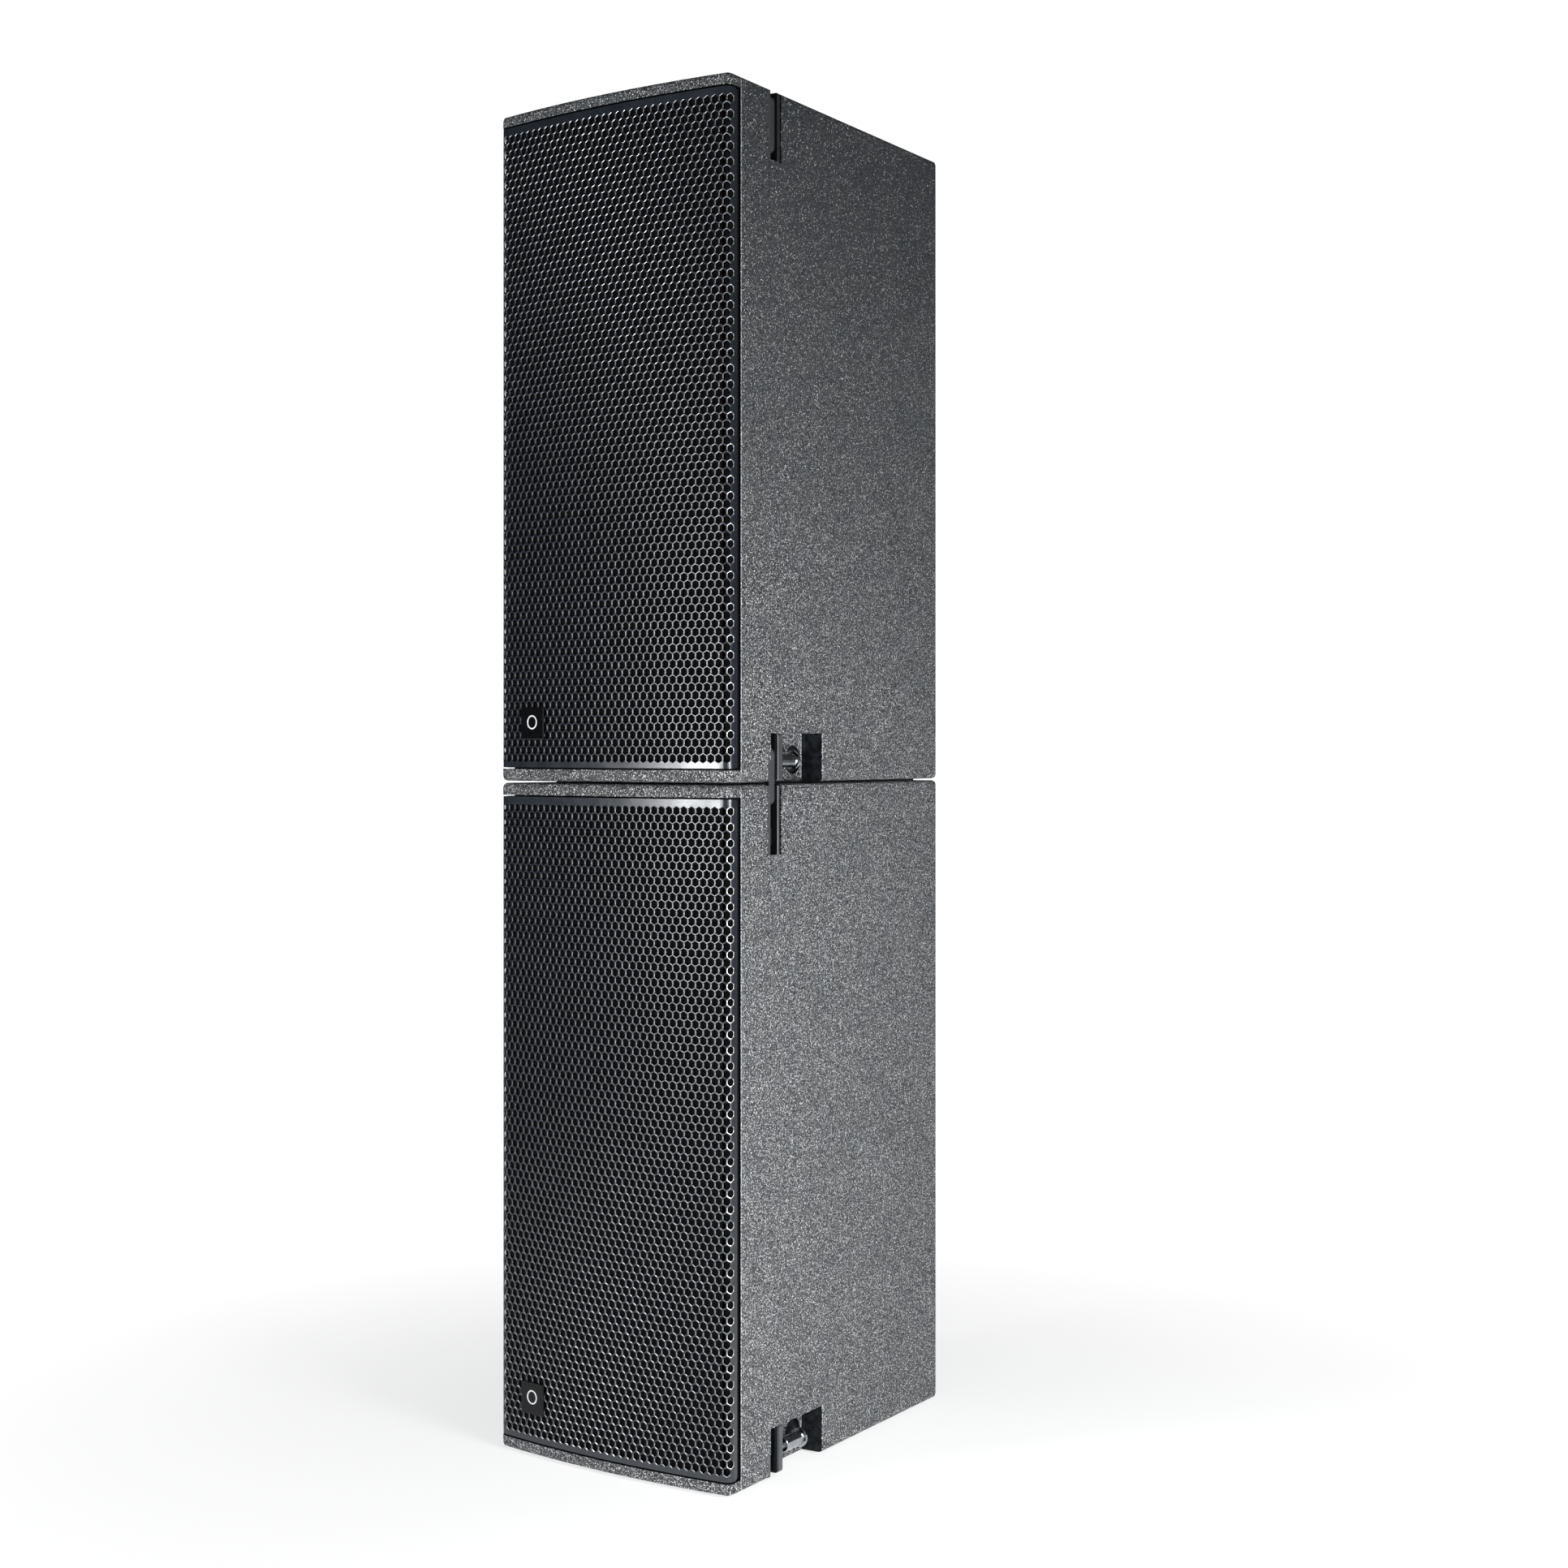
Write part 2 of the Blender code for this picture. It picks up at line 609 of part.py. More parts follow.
def waveguide(prefix, base):
    centre_z = base + HORN_Z
    flange_y = FRONT_Y + FLANGE_DEPTH
    name = prefix + "waveguide"
    obj = add_part(name, box_mesh(name, centred(0.0, HORN_WIDTH),
                                  (flange_y, flange_y + FLANGE_THICK),
                                  centred(centre_z, HORN_HEIGHT)), "horn_plastic")
    # name, horn sections, horn depths, throat radius, throat depths, operation
    steps = (
        ("add", HORN_OUTSIDE, HORN_OUTSIDE_DEPTHS, COLLAR_RADIUS, COLLAR_DEPTHS, "UNION"),
        ("cut", HORN_INSIDE, HORN_INSIDE_DEPTHS, THROAT_RADIUS, THROAT_CUT_DEPTHS,
         "DIFFERENCE"),
    )
    for verb, sections, depths, radius, throat_depths, operation in steps:
        name = f"{prefix}{verb}_horn"
        apply_tool(obj, name, funnel_mesh(name, sections, depths, centre_z), operation)
        name = f"{prefix}{verb}_throat"
        y_span = [FRONT_Y + depth for depth in throat_depths]
        apply_tool(obj, name, cylinder_y_mesh(name, radius, y_span, 0.0, centre_z, 16),
                   operation)


def compression_driver(prefix, base):
    driver(prefix + "compression_driver", COMPRESSION_PROFILE, "magnet_steel", 16,
           base + HORN_Z)


# ---------------------------------------------------- inside, rear and feet
BOARD_DEPTH = 0.205         # front edge of the crossover board
BOARD_LENGTH = 0.090
BOARD_HALF_WIDTH = 0.056
BOARD_THICK = 0.0016
BOARD_LIFT = 0.006          # above the bottom panel
STANDOFF_INSET = 0.008      # from the board's edges
STANDOFF_RADIUS = 0.003
STANDOFF_BITE = 0.0008      # how far the standoffs reach into the board
COMPONENT_FOOT = 0.0010     # components start this far up the board
# (radius, height, x, distance behind the board's front edge)
ROUND_COMPONENTS = ((0.019, 0.022, -0.028, 0.028), (0.013, 0.018, 0.012, 0.022))
# (x span, span behind the board's front edge, height)
BOX_COMPONENTS = (
    *(((0.030, 0.050), (0.014 + 0.024 * k, 0.030 + 0.024 * k), 0.013) for k in range(3)),
    ((-0.040, 0.004), (0.058, 0.074), 0.016),
)

SOCKET_HOLE_RADIUS = 0.0124
SOCKET_HOLE_AHEAD = 0.03
# (radius, height behind the cabinet's rear face)
SOCKET_PROFILE = (
    (0.0, -0.0060), (0.0035, -0.0060), (0.0035, -0.0190), (0.0090, -0.0190),
    (0.0090, -0.0012), (0.0117, -0.0012), (0.0117, -0.0043), (0.0150, -0.0043),
    (0.0150, -0.0072), (0.0117, -0.0072), (0.0117, -0.0250), (0.0, -0.0250),
)

# wire from the -X socket down to the crossover: (x, depth, height)
HARNESS_PATH = (
    (-SOCKET_X, 0.3600, PLATE_Z), (-SOCKET_X, 0.3500, PLATE_Z), (-0.030, 0.3460, 0.300),
    (-0.028, 0.3440, 0.060), (-0.026, 0.3300, 0.040), (-0.022, 0.3000, 0.032),
)
WIRE_RADIUS = 0.0022


def crossover(prefix, base):
    front = FRONT_Y + BOARD_DEPTH
    bottom = base + FOOT_GAP + TOP_THICK + BOARD_LIFT
    name = prefix + "crossover_board"
    board = add_part(name, box_mesh(name, (-BOARD_HALF_WIDTH, BOARD_HALF_WIDTH),
                                    (front, front + BOARD_LENGTH),
                                    (bottom, bottom + BOARD_THICK)), "board_green")

    name = prefix + "add_standoffs"
    shape = bmesh.new()
    standoff_x = BOARD_HALF_WIDTH - STANDOFF_INSET
    z_span = (bottom - BOARD_LIFT + GAP, bottom + STANDOFF_BITE)
    for x in (-standoff_x, standoff_x):
        for y in (STANDOFF_INSET, BOARD_LENGTH - STANDOFF_INSET):
            add_cylinder_z(shape, STANDOFF_RADIUS, z_span, x, front + y, 8)
    apply_tool(board, name, finish_mesh(shape, name), "UNION")

    name = prefix + "add_parts"
    shape = bmesh.new()
    foot = bottom + COMPONENT_FOOT
    for radius, height, x, y in ROUND_COMPONENTS:
        add_cylinder_z(shape, radius, (foot, foot + height), x, front + y, 16)
    for x_span, y_span, height in BOX_COMPONENTS:
        add_box(shape, x_span, [front + y for y in y_span], (foot, foot + height))
    apply_tool(board, name, finish_mesh(shape, name), "UNION")


def rear_plate(prefix, base):
    centre_z = base + PLATE_Z
    inner_y = REAR_Y - REBATE_DEPTH + GAP
    name = prefix + "rear_plate"
    plate = add_part(name, box_mesh(name, centred(0.0, PLATE_WIDTH, -GAP),
                                    (inner_y, inner_y + PLATE_THICK),
                                    centred(centre_z, PLATE_HEIGHT, -GAP)), "plate_paint")
    name = prefix + "cut_plate"
    shape = bmesh.new()
    y_span = (REAR_Y - SOCKET_HOLE_AHEAD, REAR_Y + OVERCUT)
    for x in (-SOCKET_X, SOCKET_X):
        add_cylinder_y(shape, SOCKET_HOLE_RADIUS, y_span, x, centre_z, 14)
    apply_tool(plate, name, finish_mesh(shape, name))

    for x, tag in ((-SOCKET_X, "input"), (SOCKET_X, "link")):
        socket = lathe(prefix + "socket_" + tag, SOCKET_PROFILE, "socket_plastic", 14)
        socket.rotation_euler = (math.radians(-90.0), 0.0, 0.0)
        socket.location = (x, REAR_Y, centre_z)


def harness(prefix, base):
    """A wire swept along its path as a curve, then turned into a closed mesh."""
    curve = bpy.data.curves.new(prefix + "harness_curve", "CURVE")
    curve.dimensions = "3D"
    curve.bevel_depth = WIRE_RADIUS
    curve.bevel_resolution = 1
    curve.use_fill_caps = True
    curve.resolution_u = 1
    spline = curve.splines.new("POLY")
    spline.points.add(len(HARNESS_PATH) - 1)
    for point, (x, depth, z) in zip(spline.points, HARNESS_PATH):
        point.co = (x, FRONT_Y + depth, base + z, 1.0)
    swept = bpy.data.objects.new(prefix + "harness_temp", curve)
    parts.objects.link(swept)
    bpy.context.view_layer.update()
    graph = bpy.context.evaluated_depsgraph_get()
    mesh = bpy.data.meshes.new_from_object(swept.evaluated_get(graph))
    bpy.data.objects.remove(swept, do_unlink=True)

    # weld the end caps to the tube
    shape = bmesh.new()
    shape.from_mesh(mesh)
    bmesh.ops.remove_doubles(shape, verts=shape.verts, dist=0.00002)
    bmesh.ops.recalc_face_normals(shape, faces=shape.faces)
    shape.to_mesh(mesh)
    shape.free()
    mesh.name = prefix + "harness"
    mesh.materials.clear()
    smooth(add_part(prefix + "harness", mesh, "wire_red"), 60.0)


def feet(prefix, base):
    # upper feet stop just short of the cabinet below
    bottom = base + (0.0 if base == 0.0 else GAP)
    top = base + FOOT_GAP + FOOT_GROOVE - GAP
    for side, tag in SIDES:
        name = prefix + "foot_" + tag
        add_part(name, box_mesh(name, centred(side * FOOT_X, FOOT_WIDTH),
                                [FRONT_Y + depth for depth in FOOT_DEPTHS],
                                (bottom, top)), "foot_rubber")


# ------------------------------------------------------------------- rigging
CHEEK_FRONT = (0.0640, 0.0690)      # along spans of the rail's pieces
CHEEK_REAR = (0.0790, 0.0848)
BLOCK_REAR = (0.0790, 0.0916)
CHEEK_REAR_EASE = 0.0002            # rear cheek starts this far behind its span
RAIL_BACK_INWARD = (0.0198, 0.0222)
RAIL_FACE_INWARD = 0.0010           # outer edge where the side is open
RAIL_OVERLAP = 0.0010               # cheeks reach this far into the rail's back
RAIL_FOOT_AIR, RAIL_TOP_AIR = 0.0008, 0.0012
REAR_CHEEK_LIFT = 0.0040
BACK_END_INSET = 0.0006             # back plate inside the cheeks' outer faces
BACK_HEIGHT_INSET = 0.0004          # and inside their ends
BLOCK_FACE_PROUD = 0.0002
BLOCK_OVERLAP = 0.0005              # block reaches this far past the cheeks
BLOCK_BEVEL = 0.0022
BORE_OVERCUT = 0.01

PIN_RADIUS = 0.0040
# (radius, height back from the seat on the rail)
PIN_PROFILE = (
    (0.0, 0.0362), (0.0042, 0.0354), (0.0064, 0.0330), (0.0064, 0.0318),
    (0.0086, 0.0314), (0.0090, 0.0306), (0.0090, 0.0292), (0.0086, 0.0284),
    (0.0068, 0.0280), (0.0068, 0.0006), (0.0062, 0.0), (PIN_RADIUS, 0.0),
    (PIN_RADIUS, -0.0232), (0.0030, -0.0248), (0.0, -0.0248),
)

# the link's local heights are measured from its top
LINK_ALONG = (0.0694, 0.0786)
LINK_INWARD = (0.0026, 0.0192)
LINK_LENGTH = 0.0520
LINK_CORNER_RADIUS = 0.0055
LINK_TOP_PARKED = 0.6210
LINK_TOP_RAISED = LINK_TOP_PARKED + LINK_RAISE
LEG_OUTER_INWARD = 0.0125           # outer face of the leg
LEG_BOTTOM = -0.1300
LEG_OVERLAP = 0.015                 # leg starts this far up inside the link
GRIP_TOP_RAISED = -0.0390           # top of a raised grip, from the cabinet's top
GRIP_HEIGHT = 0.0165
GRIP_SKIN_GAP = 0.0006


def cheek_mesh(name, side, along_span, outline):
    """A plate standing across the side: outline of (inward, height)."""
    start, end = along_span
    corners = [(-side * inward, start, z) for inward, z in outline]
    return extruded(name, corners, (0.0, end - start, 0.0))


def rail(prefix, base, side, tag):
    """Two cheeks on a back plate, with a bored block for the pin at the rear."""
    low, high = shell_heights(base)
    name = prefix + "rail_" + tag
    foot, top = low + RAIL_FOOT_AIR, high - RAIL_TOP_AIR
    pocket_top = base + POCKET_HEIGHT - GAP
    slot_bottom = high - SLOT_HEIGHT + GAP
    notch_top = base + NOTCH_HEIGHT - GAP
    face, skin = RAIL_FACE_INWARD, SKIN_INWARD + GAP
    inner = RAIL_BACK_INWARD[0] + RAIL_OVERLAP
    # both cheeks stand out to the face in the open slot at the top
    slot_steps = [(skin, slot_bottom), (face, slot_bottom), (face, top), (inner, top)]

    # the front cheek also stands out in the open notch at the bottom
    outline = [(inner, foot), (face, foot), (face, notch_top), (skin, notch_top)] + slot_steps
    obj = add_part(name, cheek_mesh(name, side, CHEEK_FRONT, outline), "rail_zinc")
    place_on_side(obj, side)

    def apply_side_tool(tool_name, mesh, operation):
        tool = apply_tool(obj, tool_name, mesh, operation)
        place_on_side(tool, side)
        return tool

    tool_name = name + "_add_back"
    apply_side_tool(tool_name, side_box_mesh(
        tool_name, side, (CHEEK_FRONT[0] + BACK_END_INSET, CHEEK_REAR[1] - BACK_END_INSET),
        RAIL_BACK_INWARD, (foot + BACK_HEIGHT_INSET, top - BACK_HEIGHT_INSET)), "UNION")

    tool_name = name + "_add_rear"
    rear_foot = foot + REAR_CHEEK_LIFT
    outline = [(inner, rear_foot), (skin, rear_foot)] + slot_steps
    rear_span = (CHEEK_REAR[0] + CHEEK_REAR_EASE, CHEEK_REAR[1])
    apply_side_tool(tool_name, cheek_mesh(tool_name, side, rear_span, outline), "UNION")

    tool_name = name + "_add_block"
    block = apply_side_tool(tool_name, side_box_mesh(
        tool_name, side, BLOCK_REAR, (face - BLOCK_FACE_PROUD, inner + BLOCK_OVERLAP),
        (foot, pocket_top)), "UNION")
    bevel(block, BLOCK_BEVEL)

    tool_name = name + "_cut_bore"
    bore_span = (CHEEK_FRONT[0] - BORE_OVERCUT, BLOCK_REAR[1] + BORE_OVERCUT)
    apply_side_tool(tool_name, cylinder_y_mesh(
        tool_name, PIN_HOLE_RADIUS, bore_span, -side * PIN_INWARD, base + PIN_Z, 20),
        "DIFFERENCE")


def lock_pin(prefix, base, side, tag, pulled):
    """Pin with a knob, lying with its local Z pointing back along the side."""
    obj = lathe(prefix + "pin_" + tag, PIN_PROFILE, "pin_chrome", 18)
    x, y = side_point(side, BLOCK_REAR[1] + GAP + pulled, PIN_INWARD)
    lay = Matrix.Rotation(math.radians(-90.0), 4, "X")
    turn = Matrix.Rotation(side * TAPER, 4, "Z")
    obj.matrix_world = Matrix.Translation((x, y, base + PIN_Z)) @ turn @ lay


def link_plate_mesh(name, side):
    """Link plate with its four edges that run along the side rounded."""
    shape = bmesh.new()
    add_box(shape, [-side * inward for inward in LINK_INWARD], LINK_ALONG, (-LINK_LENGTH, 0.0))
    edges = []
    for edge in shape.edges:
        start, end = (vert.co for vert in edge.verts)
        if abs(start.z - end.z) < 1e-6 and abs(start.x - end.x) < 1e-6:
            edges.append(edge)
    bmesh.ops.bevel(shape, geom=edges, offset=LINK_CORNER_RADIUS, segments=3,
                    affect="EDGES", profile=0.5)
    return finish_mesh(shape, name)


def link(prefix, base, side, tag, lift):
    """Link plate that slides up out of the rail and is pinned in the cabinet above."""
    name = prefix + "link_" + tag
    obj = add_part(name, link_plate_mesh(name, side), "link_zinc")

    # inner leg reaching down the rail
    tool_name = name + "_add_leg"
    leg = apply_tool(obj, tool_name, side_box_mesh(
        tool_name, side, LINK_ALONG, (LEG_OUTER_INWARD, LINK_INWARD[1]),
        (LEG_BOTTOM, -LINK_LENGTH + LEG_OVERLAP)), "UNION")

    # pin hole, level with the upper cabinet's pin when the link is raised
    tool_name = name + "_cut_hole"
    hole_span = (LINK_ALONG[0] - BORE_OVERCUT, LINK_ALONG[1] + BORE_OVERCUT)
    hole_z = (MODULE_PITCH + PIN_Z) - LINK_TOP_RAISED
    hole = apply_tool(obj, tool_name, cylinder_y_mesh(
        tool_name, PIN_HOLE_RADIUS, hole_span, -side * PIN_INWARD, hole_z, 20))
    for piece in (obj, leg, hole):
        place_on_side(piece, side, base + LINK_TOP_PARKED + lift)


def grip(prefix, base, side, tag, lift):
    """Black thumb grip clipped on the leg of the link."""
    name = prefix + "grip_" + tag
    top = GRIP_TOP_RAISED + MODULE_PITCH - LINK_TOP_RAISED
    obj = add_part(name, side_box_mesh(
        name, side, LINK_ALONG, (SKIN_INWARD + GRIP_SKIN_GAP, LEG_OUTER_INWARD - GAP),
        (top - GRIP_HEIGHT, top)), "grip_rubber")
    bevel(obj, 0.0010, segments=1)
    place_on_side(obj, side, base + LINK_TOP_PARKED + lift)


# --------------------------------------------------------------- the assembly
# name prefix, base height, lift of the links, pull of the pins
MODULES = (
    ("lower_", 0.0, LINK_RAISE, PIN_TRAVEL),
    ("upper_", MODULE_PITCH, 0.0, 0.0),
)
for prefix, base, lift, pulled in MODULES:
    cabinet(prefix, base)
    baffle_board(prefix, base)
    grille(prefix, base)
    grille_foam(prefix, base)
    grille_frame(prefix, base)
    badge(prefix, base)
    for letter, z in WOOFER_HEIGHTS.items():
        woofer(f"{prefix}woofer_{letter}", base + z)
    waveguide(prefix, base)
    compression_driver(prefix, base)
    crossover(prefix, base)
    rear_plate(prefix, base)
    harness(prefix, base)
    feet(prefix, base)
    for side, tag in SIDES:
        rail(prefix, base, side, tag)
        lock_pin(prefix, base, side, tag, pulled)
        link(prefix, base, side, tag, lift)
        grip(prefix, base, side, tag, lift)

bpy.context.view_layer.update()
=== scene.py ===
"""Two equal loudspeaker cabinets, one standing on the other.

The fronts face -Y and bulge forward between corners at y = FRONT_Y, the sides taper towards
the rear at +Y, and Z runs up from the floor at z = 0. The stack is centred on x = 0 and y = 0.
The CAD pieces get procedural materials. Perforated grilles, screws and badge marks are built here.
"""
import math
from functools import reduce

import bmesh
import bpy
import numpy as np
from mathutils import Matrix, Vector

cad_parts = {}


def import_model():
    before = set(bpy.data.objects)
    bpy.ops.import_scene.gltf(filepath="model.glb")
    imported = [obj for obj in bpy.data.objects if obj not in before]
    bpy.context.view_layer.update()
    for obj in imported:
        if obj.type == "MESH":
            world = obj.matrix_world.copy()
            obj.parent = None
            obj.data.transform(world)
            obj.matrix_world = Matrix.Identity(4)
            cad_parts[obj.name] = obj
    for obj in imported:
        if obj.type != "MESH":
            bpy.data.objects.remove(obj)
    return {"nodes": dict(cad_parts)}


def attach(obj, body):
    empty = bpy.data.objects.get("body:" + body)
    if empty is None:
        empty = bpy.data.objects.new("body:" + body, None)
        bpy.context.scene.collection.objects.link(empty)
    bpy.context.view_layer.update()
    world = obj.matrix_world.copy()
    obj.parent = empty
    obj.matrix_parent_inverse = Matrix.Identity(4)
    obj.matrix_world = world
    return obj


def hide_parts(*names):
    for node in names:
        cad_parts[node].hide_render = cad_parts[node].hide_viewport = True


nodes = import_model()["nodes"]
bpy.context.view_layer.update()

# ----------------------------------------------------------------- cabinet dimensions
CABINET_PITCH = 0.625                        # height from one cabinet to the next
HALF_WIDTH = 0.27134 / 2.0                   # at the front corners
DEPTH = 0.38875                              # front corners to rear
SAGITTA = 0.00938                            # bulge of the front
SIDE_TAPER = math.radians(5.0)
FRONT_Y = -(DEPTH - SAGITTA) / 2.0           # y of the front corners
FRONT_RADIUS = HALF_WIDTH ** 2 / (2.0 * SAGITTA)
MID_HEIGHT = 0.3135                          # of the waveguide and the rear plate
BASES = {"lower_": 0.0, "upper_": CABINET_PITCH}

scene = bpy.context.scene


def bulge_y(x):
    """Depth of the bulged front at x, from the front corners."""
    return -SAGITTA + x * x / (2.0 * FRONT_RADIUS)


def add(name, mesh, material=None):
    obj = bpy.data.objects.new(name, mesh)
    scene.collection.objects.link(obj)
    if material is not None:
        mesh.materials.append(material)
    return obj


# ---------------------------------------------------------------------- shader helpers
def grey(value):
    return (value, value, value)


def scaled(color, factor, lift=0.0):
    return tuple(min(1.0, c * factor + lift) for c in color)


class Graph:
    """Short calls for building a node tree. Any input takes a number, a colour or a socket."""

    def __init__(self, tree):
        self.tree = tree

    def plug(self, socket, value):
        if isinstance(value, bpy.types.NodeSocket):
            self.tree.links.new(value, socket)
        elif isinstance(value, tuple) and socket.type == "RGBA":
            socket.default_value = (*value, 1.0)
        else:
            socket.default_value = value

    def node(self, kind, inputs=None, **settings):
        made = self.tree.nodes.new(kind)
        for key, value in settings.items():
            setattr(made, key, value)
        for key, value in (inputs or {}).items():
            self.plug(made.inputs[key], value)
        return made

    def span(self, value, of, to, interpolation="LINEAR"):
        """Map the range `of` onto the range `to`, clamped."""
        inputs = {"Value": value, "From Min": of[0], "From Max": of[1],
                  "To Min": to[0], "To Max": to[1]}
        made = self.node("ShaderNodeMapRange", inputs, interpolation_type=interpolation)
        return made.outputs["Result"]


class Shader(Graph):
    """A material with a Principled BSDF and textures in object coordinates."""

    def __init__(self, name, color, rough, metallic=0.0):
        self.mat = bpy.data.materials.new(name)
        self.mat.use_nodes = True
        super().__init__(self.mat.node_tree)
        self.out = self.tree.nodes["Material Output"]
        self.bsdf = self.tree.nodes["Principled BSDF"]
        self.set(Base_Color=color, Metallic=metallic, Roughness=rough)
        self.mat.diffuse_color = (*color, 1.0)
        self.coord = self.node("ShaderNodeTexCoord").outputs["Object"]

    def set(self, **inputs):
        """Fill inputs of the BSDF, underscores standing for spaces."""
        for key, value in inputs.items():
            self.plug(self.bsdf.inputs[key.replace("_", " ")], value)
        return self.mat

    def stretched(self, scale):
        made = self.node("ShaderNodeMapping", {"Vector": self.coord, "Scale": scale})
        return made.outputs["Vector"]

    def noise(self, scale, detail=2.0, rough=0.5, vector=None):
        inputs = {"Scale": scale, "Detail": detail, "Roughness": rough,
                  "Vector": vector or self.coord}
        return self.node("ShaderNodeTexNoise", inputs).outputs["Fac"]

    def voronoi(self, scale, feature="F1", output="Distance"):
        inputs = {"Scale": scale, "Vector": self.coord}
        return self.node("ShaderNodeTexVoronoi", inputs, feature=feature).outputs[output]

    def ramp(self, value, *stops):
        """Colour ramp through (position, colour) stops."""
        made = self.node("ShaderNodeValToRGB", {"Fac": value})
        elements = made.color_ramp.elements
        while len(elements) < len(stops):
            elements.new(0.5)
        for element, (position, color) in zip(elements, stops):
            element.position = position
            element.color = (*color, 1.0)
        return made.outputs["Color"]

    def math(self, operation, *values):
        made = self.node("ShaderNodeMath", dict(enumerate(values)), operation=operation)
        return made.outputs[0]

    def plus(self, a, b):
        return self.math("ADD", a, b)

    def minus(self, a, b):
        return self.math("SUBTRACT", a, b)

    def times(self, *values):
        return reduce(lambda a, b: self.math("MULTIPLY", a, b), values)

    def highest(self, *values):
        return reduce(lambda a, b: self.math("MAXIMUM", a, b), values)

    def above(self, value, limit):
        return self.math("GREATER_THAN", value, limit)

    def mix(self, factor, a, b, blend="MIX"):
        made = self.node("ShaderNodeMix", data_type="RGBA", blend_type=blend)
        for slot, value in ((0, factor), (6, a), (7, b)):     # factor and the two colours
            self.plug(made.inputs[slot], value)
        return made.outputs[2]

    def bump(self, height, strength, distance):
        inputs = {"Strength": strength, "Distance": distance, "Height": height}
        return self.node("ShaderNodeBump", inputs).outputs["Normal"]

    def split(self, vector):
        return self.node("ShaderNodeSeparateXYZ", {0: vector}).outputs

    def zone(self, place, **limits):
        """Mask of what lies between (low, high) on each named axis, None being open."""
        masks = []
        for axis, (low, high) in limits.items():
            if low is None:
                masks.append(self.math("LESS_THAN", place[axis], high))
            elif high is None:
                masks.append(self.above(place[axis], low))
            else:
                masks.append(self.times(self.above(place[axis], low),
                                        self.math("LESS_THAN", place[axis], high)))
        return self.times(*masks)


def side_place(s, x, y):
    """Distances back along the tapered side, deep into it, and back from the front corners."""
    back = s.minus(y, FRONT_Y)
    inward = s.minus(HALF_WIDTH, s.math("ABSOLUTE", x))
    sin_taper, cos_taper = math.sin(SIDE_TAPER), math.cos(SIDE_TAPER)
    return {
        "along": s.plus(s.times(inward, sin_taper), s.times(back, cos_taper)),
        "deep": s.minus(s.times(inward, cos_taper), s.times(back, sin_taper)),
        "back": back,
    }


